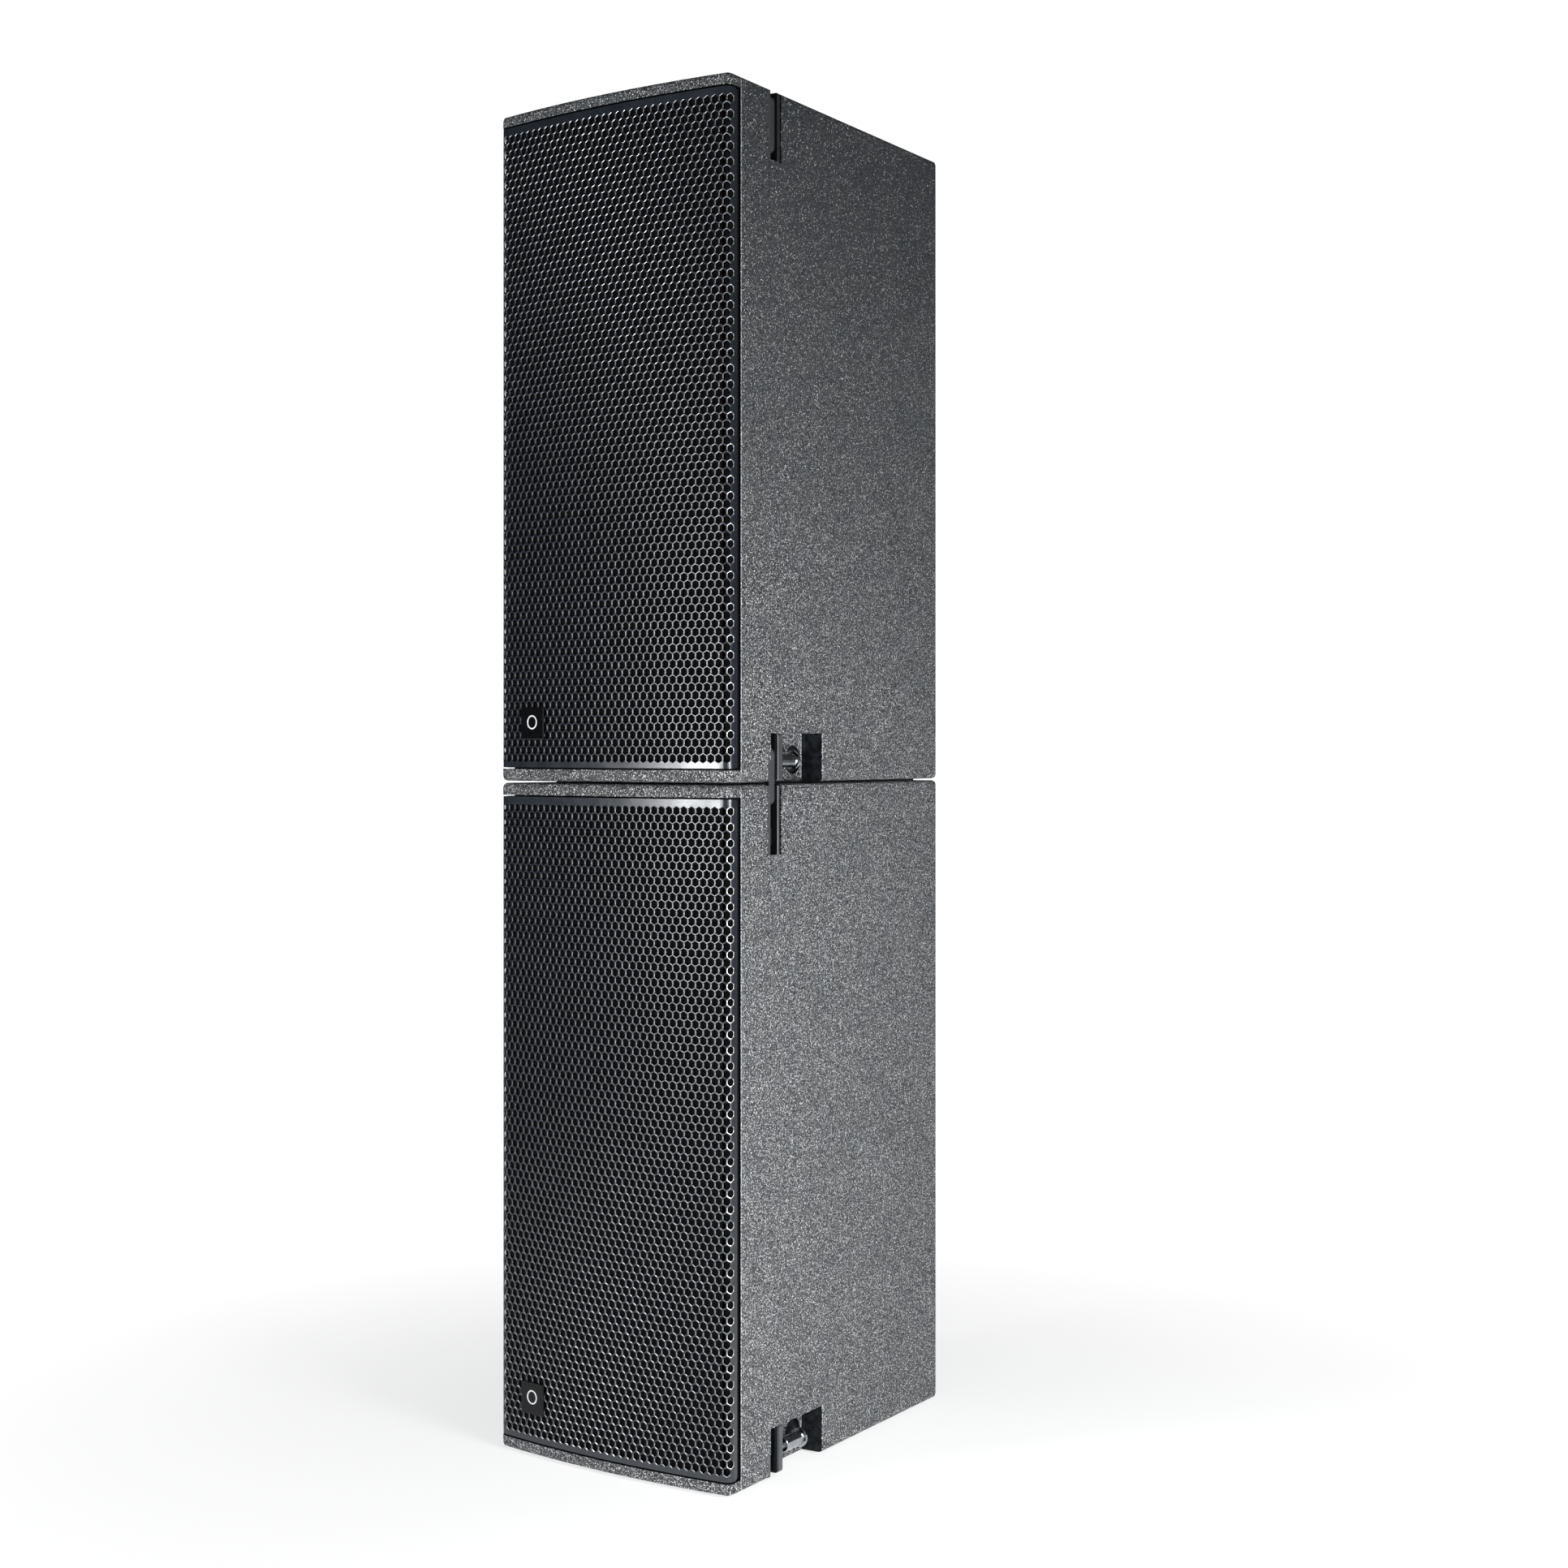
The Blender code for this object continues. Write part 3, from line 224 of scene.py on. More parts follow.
# --------------------------------------------------------------------------- materials
def coating():
    """Coarse charcoal coating with painted glints on its facets and painted highlights on some edges,
    darker as painted shade higher up, and smooth painted shade in the recesses and gaps.
    """
    s = Shader("cabinet_paint", (0.07, 0.075, 0.08), rough=0.55)
    grain = s.noise(scale=820.0, rough=0.60)
    fine = s.noise(scale=1500.0, rough=0.55)
    pebble = s.voronoi(scale=700.0, feature="SMOOTH_F1")
    patch = s.noise(scale=26.0, detail=3.0, rough=0.55)
    # The grain's brightest stop is a painted glint on the facets; the darker stops are its own tone.
    color = s.ramp(grain, (0.41, (0.0022, 0.0027, 0.0033)), (0.49, (0.0170, 0.0188, 0.0214)),
                   (0.55, (0.066, 0.069, 0.073)), (0.62, (0.37, 0.375, 0.38)))
    color = s.mix(1.0, color, s.ramp(fine, (0.30, grey(0.60)), (0.70, grey(1.50))), "MULTIPLY")

    # Painted shade: the grain turns calmer and darker higher up and further back from the front.
    _, y, z = s.split(s.coord)
    painted_top_shade = s.span(z, of=(0.70, 1.25), to=(0.0, 0.72))
    painted_top_shade = s.times(painted_top_shade, s.span(s.minus(y, FRONT_Y), of=(0.0, 0.03), to=(0.3, 1.0)))
    color = s.mix(painted_top_shade, color, (0.026, 0.029, 0.033))
    tint = s.ramp(patch, (0.35, (0.90, 0.94, 0.98)), (0.65, (1.04, 1.03, 1.02)))
    color = s.mix(1.0, color, tint, "MULTIPLY")

    # Painted glints: bright flecks fill the middle of some voronoi cells, fewer of them higher up.
    glint_scale, cell_spread = 760.0, 7.31       # the spread turns a cell colour into a draw
    near = s.span(s.voronoi(glint_scale), of=(0.31, 0.41), to=(1.0, 0.0))
    drawn = s.math("FRACT", s.times(s.voronoi(glint_scale, output="Color"), cell_spread))
    top_glint_loss = s.times(painted_top_shade, 0.15)
    chosen = s.span(s.minus(drawn, top_glint_loss), of=(0.77, 0.81), to=(0.0, 1.0))
    painted_glint = s.times(near, chosen)
    color = s.mix(painted_glint, color, (0.95, 0.96, 0.95))

    x, y, z = s.split(s.coord)
    place = side_place(s, x, y)
    place["height"] = s.math("FLOORED_MODULO", z, CABINET_PITCH)      # within one cabinet
    low = s.zone(place, height=(None, 0.0473))                        # up to the pocket's top

    # Painted highlights: bright spots along the arrises of the pocket, and just behind the grille.
    painted_edge_highlight = s.highest(s.zone(place, along=(0.1602, 0.1615), deep=(None, 0.0006)),
                     s.zone(place, along=(0.1584, 0.1607), deep=(0.0222, 0.0230)))
    painted_edge_highlight = s.highest(s.times(painted_edge_highlight, low), s.zone(place, back=(0.0174, 0.0188), deep=(None, 0.0006)))
    painted_edge_highlight = s.times(painted_edge_highlight, s.span(grain, of=(0.46, 0.54), to=(0.0, 0.75)))
    color = s.mix(painted_edge_highlight, color, (0.80, 0.81, 0.81))

    # Painted shade: pocket rear wall, thumb recess, slot, face behind the grille and its lips.
    rear_wall = s.times(s.zone(place, along=(0.1599, 0.1611)),
                        s.times(s.zone(place, deep=(0.0012, None)), low))
    recess = s.times(s.zone(place, deep=(0.02275, 0.0275), along=(0.1280, 0.1590)), low)
    slot = s.zone(place, along=(0.0628, 0.0876), deep=(0.0012, 0.0245))
    behind = s.zone(place, back=(0.0166, 0.01775), deep=(0.0002, None), height=(0.0115, 0.6155))
    lips = s.zone(place, back=(None, 0.0170), height=(0.0130, 0.6140))
    painted_shade = s.highest(s.highest(behind, lips), s.highest(rear_wall, recess, slot))
    painted_shade_tone = s.ramp(s.noise(scale=150.0, detail=4.0, rough=0.65),
                  (0.40, (0.0035, 0.0045, 0.0058)), (0.68, (0.0200, 0.0230, 0.0260)))
    color = s.mix(painted_shade, color, painted_shade_tone)
    # Painted shade darkest in the slot and in the gap behind the grille.
    color = s.mix(s.highest(behind, lips, slot), color, (0.0022, 0.0024, 0.0028))

    grain_height, pebble_height, glint_height = 1.0, 0.30, 0.30
    height = s.plus(s.times(grain, grain_height), s.times(pebble, pebble_height))
    height = s.plus(height, s.times(painted_glint, glint_height))
    height = s.times(height, s.minus(1.0, painted_shade))
    return s.set(Base_Color=color,
                 Roughness=s.span(grain, of=(0.35, 0.7), to=(0.60, 0.36)),
                 Specular_IOR_Level=s.span(painted_shade, of=(0.0, 1.0), to=(0.5, 0.10)),
                 Normal=s.bump(height, strength=0.85, distance=0.0008))


def powder(name, color, rough, scale, strength, metallic=0.0):
    """Powder coat with orange peel of the given scale and strength, and slight tone drift."""
    s = Shader(name, color, rough, metallic)
    peel = s.noise(scale)
    drift = s.noise(scale=11.0, detail=3.0, rough=0.6)
    tone = s.ramp(drift, (0.35, scaled(color, 0.82)), (0.65, scaled(color, 1.22, lift=0.002)))
    tone = s.mix(1.0, tone, s.ramp(peel, (0.30, grey(0.90)), (0.70, grey(1.12))), "MULTIPLY")
    uneven = s.noise(scale=60.0, detail=3.0, rough=0.6)
    return s.set(Base_Color=tone,
                 Roughness=s.span(uneven, of=(0.3, 0.7), to=(rough * 0.86, rough * 1.18)),
                 Normal=s.bump(peel, strength, distance=0.0003))


def grille_coat():
    """Dark blue-grey semi-gloss coat on the flat webs and borders of the grille."""
    s = Shader("grille_steel", (0.016, 0.021, 0.029), rough=0.32)
    peel = s.noise(scale=1300.0)
    drift = s.noise(scale=9.0, detail=3.0, rough=0.6)
    uneven = s.noise(scale=60.0, detail=3.0, rough=0.6)
    tone = s.ramp(drift, (0.35, (0.0060, 0.0095, 0.0150)), (0.65, (0.0105, 0.0150, 0.0220)))
    return s.set(Base_Color=tone, Specular_IOR_Level=0.75,
                 Roughness=s.span(uneven, of=(0.3, 0.7), to=(0.23, 0.31)),
                 Normal=s.bump(peel, strength=0.06, distance=0.0003))


def grille_rim():
    """Glossy coat on the rims and walls of the holes, with bright metal painted on as a highlight
    where they face +X.
    """
    s = Shader("grille_rim", (0.03, 0.04, 0.05), rough=0.25, metallic=0.15)
    scratch = s.noise(scale=900.0, detail=3.0, rough=0.6)
    drift = s.noise(scale=40.0, detail=3.0, rough=0.6)
    geometry = s.node("ShaderNodeNewGeometry").outputs
    position, normal = s.split(geometry["Position"]), s.split(geometry["True Normal"])
    # The painted highlight also turns towards level_z, more so further above or below it.
    level_z, turn_per_metre, sideways = 0.60, 1.5, 0.80
    turn = s.times(s.minus(level_z, position[2]), turn_per_metre)
    lean = s.plus(s.times(normal[0], sideways), s.times(normal[2], turn))
    rim_painted_highlight = s.span(lean, of=(0.50, 0.76), to=(0.0, 1.0))
    coat = s.ramp(drift, (0.35, (0.012, 0.017, 0.024)), (0.65, (0.024, 0.031, 0.040)))
    # Bright metal tones standing for the painted highlight.
    metal = s.ramp(scratch, (0.35, (0.62, 0.64, 0.66)), (0.65, (0.86, 0.87, 0.88)))
    return s.set(Base_Color=s.mix(rim_painted_highlight, coat, metal),
                 Metallic=s.span(rim_painted_highlight, of=(0.0, 1.0), to=(0.15, 0.35)),
                 Roughness=s.span(drift, of=(0.3, 0.7), to=(0.20, 0.30)),
                 Normal=s.bump(scratch, strength=0.10, distance=0.0002))


def matt_black():
    """Dead black primer on the baffle and the grille frame, made darker still as painted shade for
    the deep gap behind the grille.
    """
    s = Shader("baffle_paint", (0.003, 0.003, 0.0034), rough=0.9)
    grain = s.noise(scale=520.0, detail=3.0, rough=0.6)
    tone = s.ramp(grain, (0.35, (0.0018, 0.0018, 0.0021)), (0.65, (0.0048, 0.0048, 0.0054)))
    return s.set(Base_Color=tone, Specular_IOR_Level=0.12,
                 Normal=s.bump(grain, strength=0.4, distance=0.0004))


def foam():
    """Open-celled black foam."""
    s = Shader("foam", (0.004, 0.004, 0.005), rough=0.95)
    cell = s.voronoi(scale=900.0)
    color = s.ramp(cell, (0.12, (0.0012, 0.0012, 0.0014)), (0.6, (0.0065, 0.0065, 0.0075)))
    return s.set(Base_Color=color, Specular_IOR_Level=0.1,
                 Normal=s.bump(cell, strength=1.0, distance=0.0008))


def rail_painted_light(s, tone, metallic, arris, arris_depth):
    """Painted highlight on one outer edge, painted shade in the gaps beside it, and painted shade
    down inside the rail.
    """
    position = s.node("ShaderNodeNewGeometry").outputs["Position"]
    x, y, _ = s.split(position)
    place = side_place(s, x, y)
    place["z"] = s.split(position)[2]
    start, end = arris
    # Painted highlight along the outer edge.
    painted_edge_highlight = s.zone(place, along=arris, deep=(None, arris_depth), z=(0.2, 0.9))
    tone = s.mix(s.times(painted_edge_highlight, 0.80), tone, (0.86, 0.87, 0.88))
    # Painted shade in the gaps on both sides of that edge.
    gap_shade = s.highest(s.zone(place, along=(start - 0.0026, start)),
                     s.zone(place, along=(end, end + 0.0011)))
    gap_shade = s.times(gap_shade, s.zone(place, deep=(None, 0.0060)))
    tone = s.mix(gap_shade, tone, (0.0030, 0.0036, 0.0044))
    # Painted shade on one flank and deeper inside the rail, with less shine there.
    shaded_flank = s.zone(place, along=(0.0690, 0.0697), deep=(0.0030, None))
    inner_painted_shade = s.highest(s.span(place["deep"], of=(0.0032, 0.0062), to=(0.0, 1.0)), shaded_flank, gap_shade)
    s.set(Metallic=s.span(inner_painted_shade, of=(0.0, 1.0), to=(metallic, 0.0)),
          Specular_IOR_Level=s.span(inner_painted_shade, of=(0.0, 1.0), to=(0.5, 0.15)))
    return s.mix(inner_painted_shade, tone, (0.0035, 0.0042, 0.0050))


def brushed(name, color, rough, metallic, along, contrast=0.22, arris=None, arris_depth=None):
    """Brushed or rolled metal: fine lines along one axis and blotches of plating."""
    s = Shader(name, color, rough, metallic)
    across_lines, along_lines = 900.0, 22.0
    scale = tuple(along_lines if axis == along else across_lines for axis in "XYZ")
    line = s.noise(scale=1.0, detail=3.0, rough=0.6, vector=s.stretched(scale))
    blotch = s.noise(scale=120.0, detail=4.0, rough=0.6)
    tone = s.ramp(line, (0.32, scaled(color, 1.0 - contrast)),
                  (0.68, scaled(color, 1.0 + contrast)))
    tone = s.mix(s.span(blotch, of=(0.45, 0.7), to=(0.0, 0.35)), tone, scaled(color, 0.6))
    # Painted highlight and painted shade on the rail's edges and insides.
    if arris is not None:
        tone = rail_painted_light(s, tone, metallic, arris, arris_depth)
    return s.set(Base_Color=tone,
                 Roughness=s.span(blotch, of=(0.3, 0.7), to=(rough * 0.8, rough * 1.3)),
                 Normal=s.bump(line, strength=0.12, distance=0.0002))


def chrome():
    """Bright pins with fine turned rings and smears."""
    s = Shader("pin_chrome", (0.45, 0.46, 0.48), rough=0.10, metallic=1.0)
    ring = s.noise(scale=1.0, vector=s.stretched((120.0, 120.0, 2600.0)))
    smear = s.noise(scale=180.0, detail=3.0, rough=0.6)
    tone = s.ramp(smear, (0.35, (0.34, 0.36, 0.39)), (0.65, (0.50, 0.52, 0.54)))
    return s.set(Base_Color=tone, Roughness=s.span(smear, of=(0.3, 0.7), to=(0.07, 0.20)),
                 Normal=s.bump(ring, strength=0.05, distance=0.0002))


def rubber(name, color, rough, scale=1400.0, specular=0.5):
    """Dusty rubber with a fine grain of the given scale."""
    s = Shader(name, color, rough)
    dust = s.noise(scale=90.0, detail=4.0, rough=0.65)
    grain = s.noise(scale)
    tone = s.ramp(dust, (0.40, color), (0.75, scaled(color, 2.2, lift=0.004)))
    return s.set(Base_Color=tone, Specular_IOR_Level=specular,
                 Roughness=s.span(dust, of=(0.3, 0.7), to=(rough * 0.85, rough * 1.15)),
                 Normal=s.bump(grain, strength=0.25, distance=0.0003))


def gloss_plastic(name, color, rough):
    """Glossy plastic with dust and level scuffs."""
    s = Shader(name, color, rough)
    dust = s.noise(scale=300.0, detail=4.0, rough=0.7)
    scuff = s.noise(scale=1.0, rough=0.6, vector=s.stretched((40.0, 40.0, 900.0)))
    tone = s.ramp(dust, (0.50, color), (0.80, scaled(color, 1.8, lift=0.003)))
    return s.set(Base_Color=tone, Specular_IOR_Level=0.22, Coat_Weight=0.06, Coat_Roughness=0.05,
                 Roughness=s.span(scuff, of=(0.35, 0.75), to=(rough * 0.8, rough * 1.9)))


def cone_paper():
    """Pressed paper with pale fibres."""
    s = Shader("cone_paper", (0.02, 0.02, 0.021), rough=0.8)
    pulp = s.noise(scale=700.0, detail=4.0, rough=0.65)
    fibre = s.voronoi(scale=260.0, feature="DISTANCE_TO_EDGE")
    tone = s.ramp(pulp, (0.35, (0.011, 0.011, 0.012)), (0.68, (0.036, 0.035, 0.034)))
    tone = s.mix(s.span(fibre, of=(0.0, 0.08), to=(0.35, 0.0)), tone, (0.06, 0.058, 0.055))
    return s.set(Base_Color=tone, Roughness=s.span(pulp, of=(0.3, 0.7), to=(0.62, 0.9)),
                 Normal=s.bump(pulp, strength=0.45, distance=0.0006))


def crossover_board():
    """Green laminate low down, with wound copper, film and ceramic parts above it."""
    part_bottom, ceramic_x, film_y = 0.0218, 0.0285, FRONT_Y + 0.257   # where parts begin
    s = Shader("board_green", (0.02, 0.09, 0.04), rough=0.45)
    x, y, z = s.split(s.coord)
    trace = s.span(s.voronoi(scale=85.0, feature="DISTANCE_TO_EDGE"),
                   of=(0.02, 0.06), to=(1.0, 0.0))
    board = s.mix(trace, (0.010, 0.060, 0.026), (0.035, 0.150, 0.060))
    winding = s.node("ShaderNodeTexWave", {"Scale": 330.0, "Vector": s.coord},
                     wave_type="BANDS", bands_direction="Z").outputs["Fac"]
    copper = s.ramp(winding, (0.2, (0.20, 0.055, 0.018)), (0.8, (0.60, 0.22, 0.085)))
    film = s.ramp(s.noise(scale=60.0), (0.4, (0.40, 0.30, 0.05)), (0.6, (0.48, 0.37, 0.08)))
    ceramic = s.ramp(s.noise(scale=500.0, detail=3.0),
                     (0.4, (0.44, 0.43, 0.40)), (0.6, (0.56, 0.55, 0.52)))
    part = s.mix(s.above(y, film_y), copper, film)
    part = s.mix(s.above(x, ceramic_x), part, ceramic)
    high = s.above(s.math("MODULO", z, CABINET_PITCH), part_bottom)
    return s.set(Base_Color=s.mix(high, board, part),
                 Normal=s.bump(winding, strength=0.15, distance=0.0003))


MATERIALS = {
    "cabinet_paint": coating(),
    "baffle_paint": matt_black(),
    "grille_steel": grille_coat(),
    "grille_rim": grille_rim(),
    "foam": foam(),
    "badge_plastic": gloss_plastic("badge_plastic", (0.0030, 0.0030, 0.0035), rough=0.10),
    "basket_metal": powder("basket_metal", (0.030, 0.030, 0.032), rough=0.45,
                           scale=700.0, strength=0.4, metallic=0.3),
    "cone_paper": cone_paper(),
    "magnet_steel": brushed("magnet_steel", (0.16, 0.16, 0.17), rough=0.42,
                            metallic=0.85, along="Y"),
    "horn_plastic": powder("horn_plastic", (0.012, 0.012, 0.013), rough=0.48,
                           scale=1000.0, strength=0.3),
    "board_green": crossover_board(),
    "rail_zinc": brushed("rail_zinc", (0.13, 0.138, 0.147), rough=0.38, metallic=0.70, along="Z",
                         contrast=0.16, arris=(0.0814, 0.0826), arris_depth=0.0026),
    "link_zinc": brushed("link_zinc", (0.105, 0.112, 0.120), rough=0.42, metallic=0.65, along="Z",
                         contrast=0.2, arris=(0.0900, 0.0901), arris_depth=0.0001),
    "pin_chrome": chrome(),
    "grip_rubber": rubber("grip_rubber", (0.0022, 0.0024, 0.0030), rough=0.60, specular=0.22),
    "foot_rubber": rubber("foot_rubber", (0.008, 0.0085, 0.009), rough=0.62),
    "plate_paint": powder("plate_paint", (0.014, 0.014, 0.016), rough=0.42,
                          scale=1200.0, strength=0.3),
    "socket_plastic": gloss_plastic("socket_plastic", (0.012, 0.030, 0.110), rough=0.28),
    "wire_red": rubber("wire_red", (0.20, 0.010, 0.008), rough=0.45, scale=900.0),
    "screw_black": brushed("screw_black", (0.06, 0.06, 0.065), rough=0.35, metallic=0.9,
                           along="X", contrast=0.3),
    "mark_white": powder("mark_white", (0.72, 0.73, 0.74), rough=0.35,
                         scale=900.0, strength=0.05),
}

# (how a node's name starts or ends after its cabinet prefix, its material); first match wins
BY_START = (
    ("cabinet", "cabinet_paint"), ("baffle", "baffle_paint"), ("grille_foam", "foam"),
    ("grille_frame", "baffle_paint"), ("grille", "grille_steel"), ("badge", "badge_plastic"),
    ("waveguide", "horn_plastic"), ("compression_driver", "magnet_steel"),
    ("crossover", "board_green"), ("rear_plate", "plate_paint"), ("socket", "socket_plastic"),
    ("harness", "wire_red"), ("foot", "foot_rubber"), ("rail", "rail_zinc"),
    ("pin", "pin_chrome"), ("link", "link_zinc"), ("grip", "grip_rubber"),
)
BY_END = (("basket", "basket_metal"), ("cone", "cone_paper"), ("magnet", "magnet_steel"))


def material_for(node_name):
    name = node_name.split("_", 1)[1]
    for start, material in BY_START:
        if name.startswith(start):
            return MATERIALS[material]
    for end, material in BY_END:
        if name.endswith(end):
            return MATERIALS[material]
    return MATERIALS["cabinet_paint"]


for node_name, node_object in nodes.items():
    if not node_object.material_slots:
        node_object.data.materials.append(None)
    for material_slot in node_object.material_slots:
        material_slot.material = material_for(node_name)


def smooth_into(bm, mesh, sharp_degrees=180.0):
    """Write bm to mesh, shaded smooth except across edges sharper than the given angle."""
    bmesh.ops.recalc_face_normals(bm, faces=bm.faces)
    for face in bm.faces:
        face.smooth = True
    for edge in bm.edges:
        if len(edge.link_faces) == 2:
            if edge.calc_face_angle(0.0) > math.radians(sharp_degrees):
                edge.smooth = False
    bm.to_mesh(mesh)
    bm.free()


# -------------------------------------------------------------------- perforated grille
# The sheet is laid out flat: s along the front from x = 0, z up, n behind the outer face.
SHEET_T = 0.0015
SHEET_LOW, SHEET_HIGH = 0.0146, 0.6124
BEND_R = 0.0062                                # where the sheet turns onto the sides
BEND_EASE = 1.003                              # sets the bend's centre back a touch
SHEET_RETURN = 0.0117                          # reach back along each side
RETURN_CORNER_R = 0.0040
RETURN_CORNER_ANGLES = (0, 25, 45, 65, 80, 90)

HEX = 2.0 / math.sqrt(3.0)                     # corner radius of a hexagon per half width
HOLE_PITCH = 0.00802
# Lattice steps: half a pitch across, and half the side of a lattice hexagon up.
HALF_SIDE = HOLE_PITCH / math.sqrt(3.0) / 2.0 * 1.0037
HOLE_R = 0.0067 / math.sqrt(3.0)               # hole 6.7 mm across flats
ROLL = 0.00030                                 # width and depth of the rolled rim
RIM_R = HOLE_R + ROLL * HEX
TAIL_R = HOLE_R + 0.0005 * HEX                 # the punch breaks out wider at the back
CORNER_CUT = 0.00085 / HOLE_R                  # share of a side cut off at each hole corner
ROWS = 84
EDGE = 35                                      # lattice steps from the middle to the last side
TOP_ROW = round((ROWS - 1) * 1.5)              # lattice height of the first row
BOTTOM_ROW = TOP_ROW - 3 * (ROWS - 1)
# (lattice height, edge) of each row; every other row is half a pitch narrower per side
LATTICE_ROWS = [(TOP_ROW - 3 * i, EDGE - i % 2) for i in range(ROWS)]
LATTICE_Z = (SHEET_LOW + SHEET_HIGH) / 2.0 - 0.0008 + ((ROWS - 1) * 1.5 - TOP_ROW) * HALF_SIDE

# Hexagon corners clockwise from the top: in lattice steps, and as unit directions
HEX_STEPS = [(0, 2), (1, 1), (1, -1), (0, -2), (-1, -1), (-1, 1)]
HEX_UNITS = [(math.sin(math.radians(60.0 * k)), math.cos(math.radians(60.0 * k)))
             for k in range(6)]


def bend_points(steps=40):
    """(x, y, angle of the outward normal) round the bend at the +X corner."""
    start = math.radians(-90.0) + math.asin((HALF_WIDTH - BEND_R) / FRONT_RADIUS)
    inset = BEND_R / math.cos(SIDE_TAPER)
    guess_y = bulge_y(HALF_WIDTH - inset) + BEND_R
    centre_x = HALF_WIDTH - guess_y * math.tan(SIDE_TAPER) - inset
    centre_y = FRONT_Y + bulge_y(centre_x) + BEND_R * BEND_EASE
    angles = [start + (SIDE_TAPER - start) * i / steps for i in range(steps + 1)]
    return [(centre_x + BEND_R * math.cos(a), centre_y + BEND_R * math.sin(a), a) for a in angles]


def outline_table(front_steps=240):
    """Rows of (s, x, y, angle of the outward normal) from x = 0 to the end of the return."""
    bend = bend_points()
    xs = [bend[0][0] * i / front_steps for i in range(front_steps)]
    points = [(x, FRONT_Y + bulge_y(x), math.atan2(-1.0, x / FRONT_RADIUS)) for x in xs] + bend
    points.append((HALF_WIDTH - SHEET_RETURN * math.sin(SIDE_TAPER),
                   FRONT_Y + SHEET_RETURN * math.cos(SIDE_TAPER), SIDE_TAPER))
    s = 0.0
    table = [(s, *points[0])]
    for before, point in zip(points, points[1:]):
        s += math.hypot(point[0] - before[0], point[1] - before[1])
        table.append((s, *point))
    return np.array(table)


OUTLINE = outline_table()
SHEET_HALF_LENGTH = float(OUTLINE[-1, 0])


def wrap_on_front(flat):
    """Bend flat (s, z, n) points round the front of the cabinet."""
    s, z, n = np.array(flat, float).T
    side = np.where(s < 0, -1.0, 1.0)
    x, y, angle = (np.interp(np.abs(s), OUTLINE[:, 0], OUTLINE[:, k]) for k in (1, 2, 3))
    return np.stack([side * (x - n * np.cos(angle)), y - n * np.sin(angle), z], axis=1)


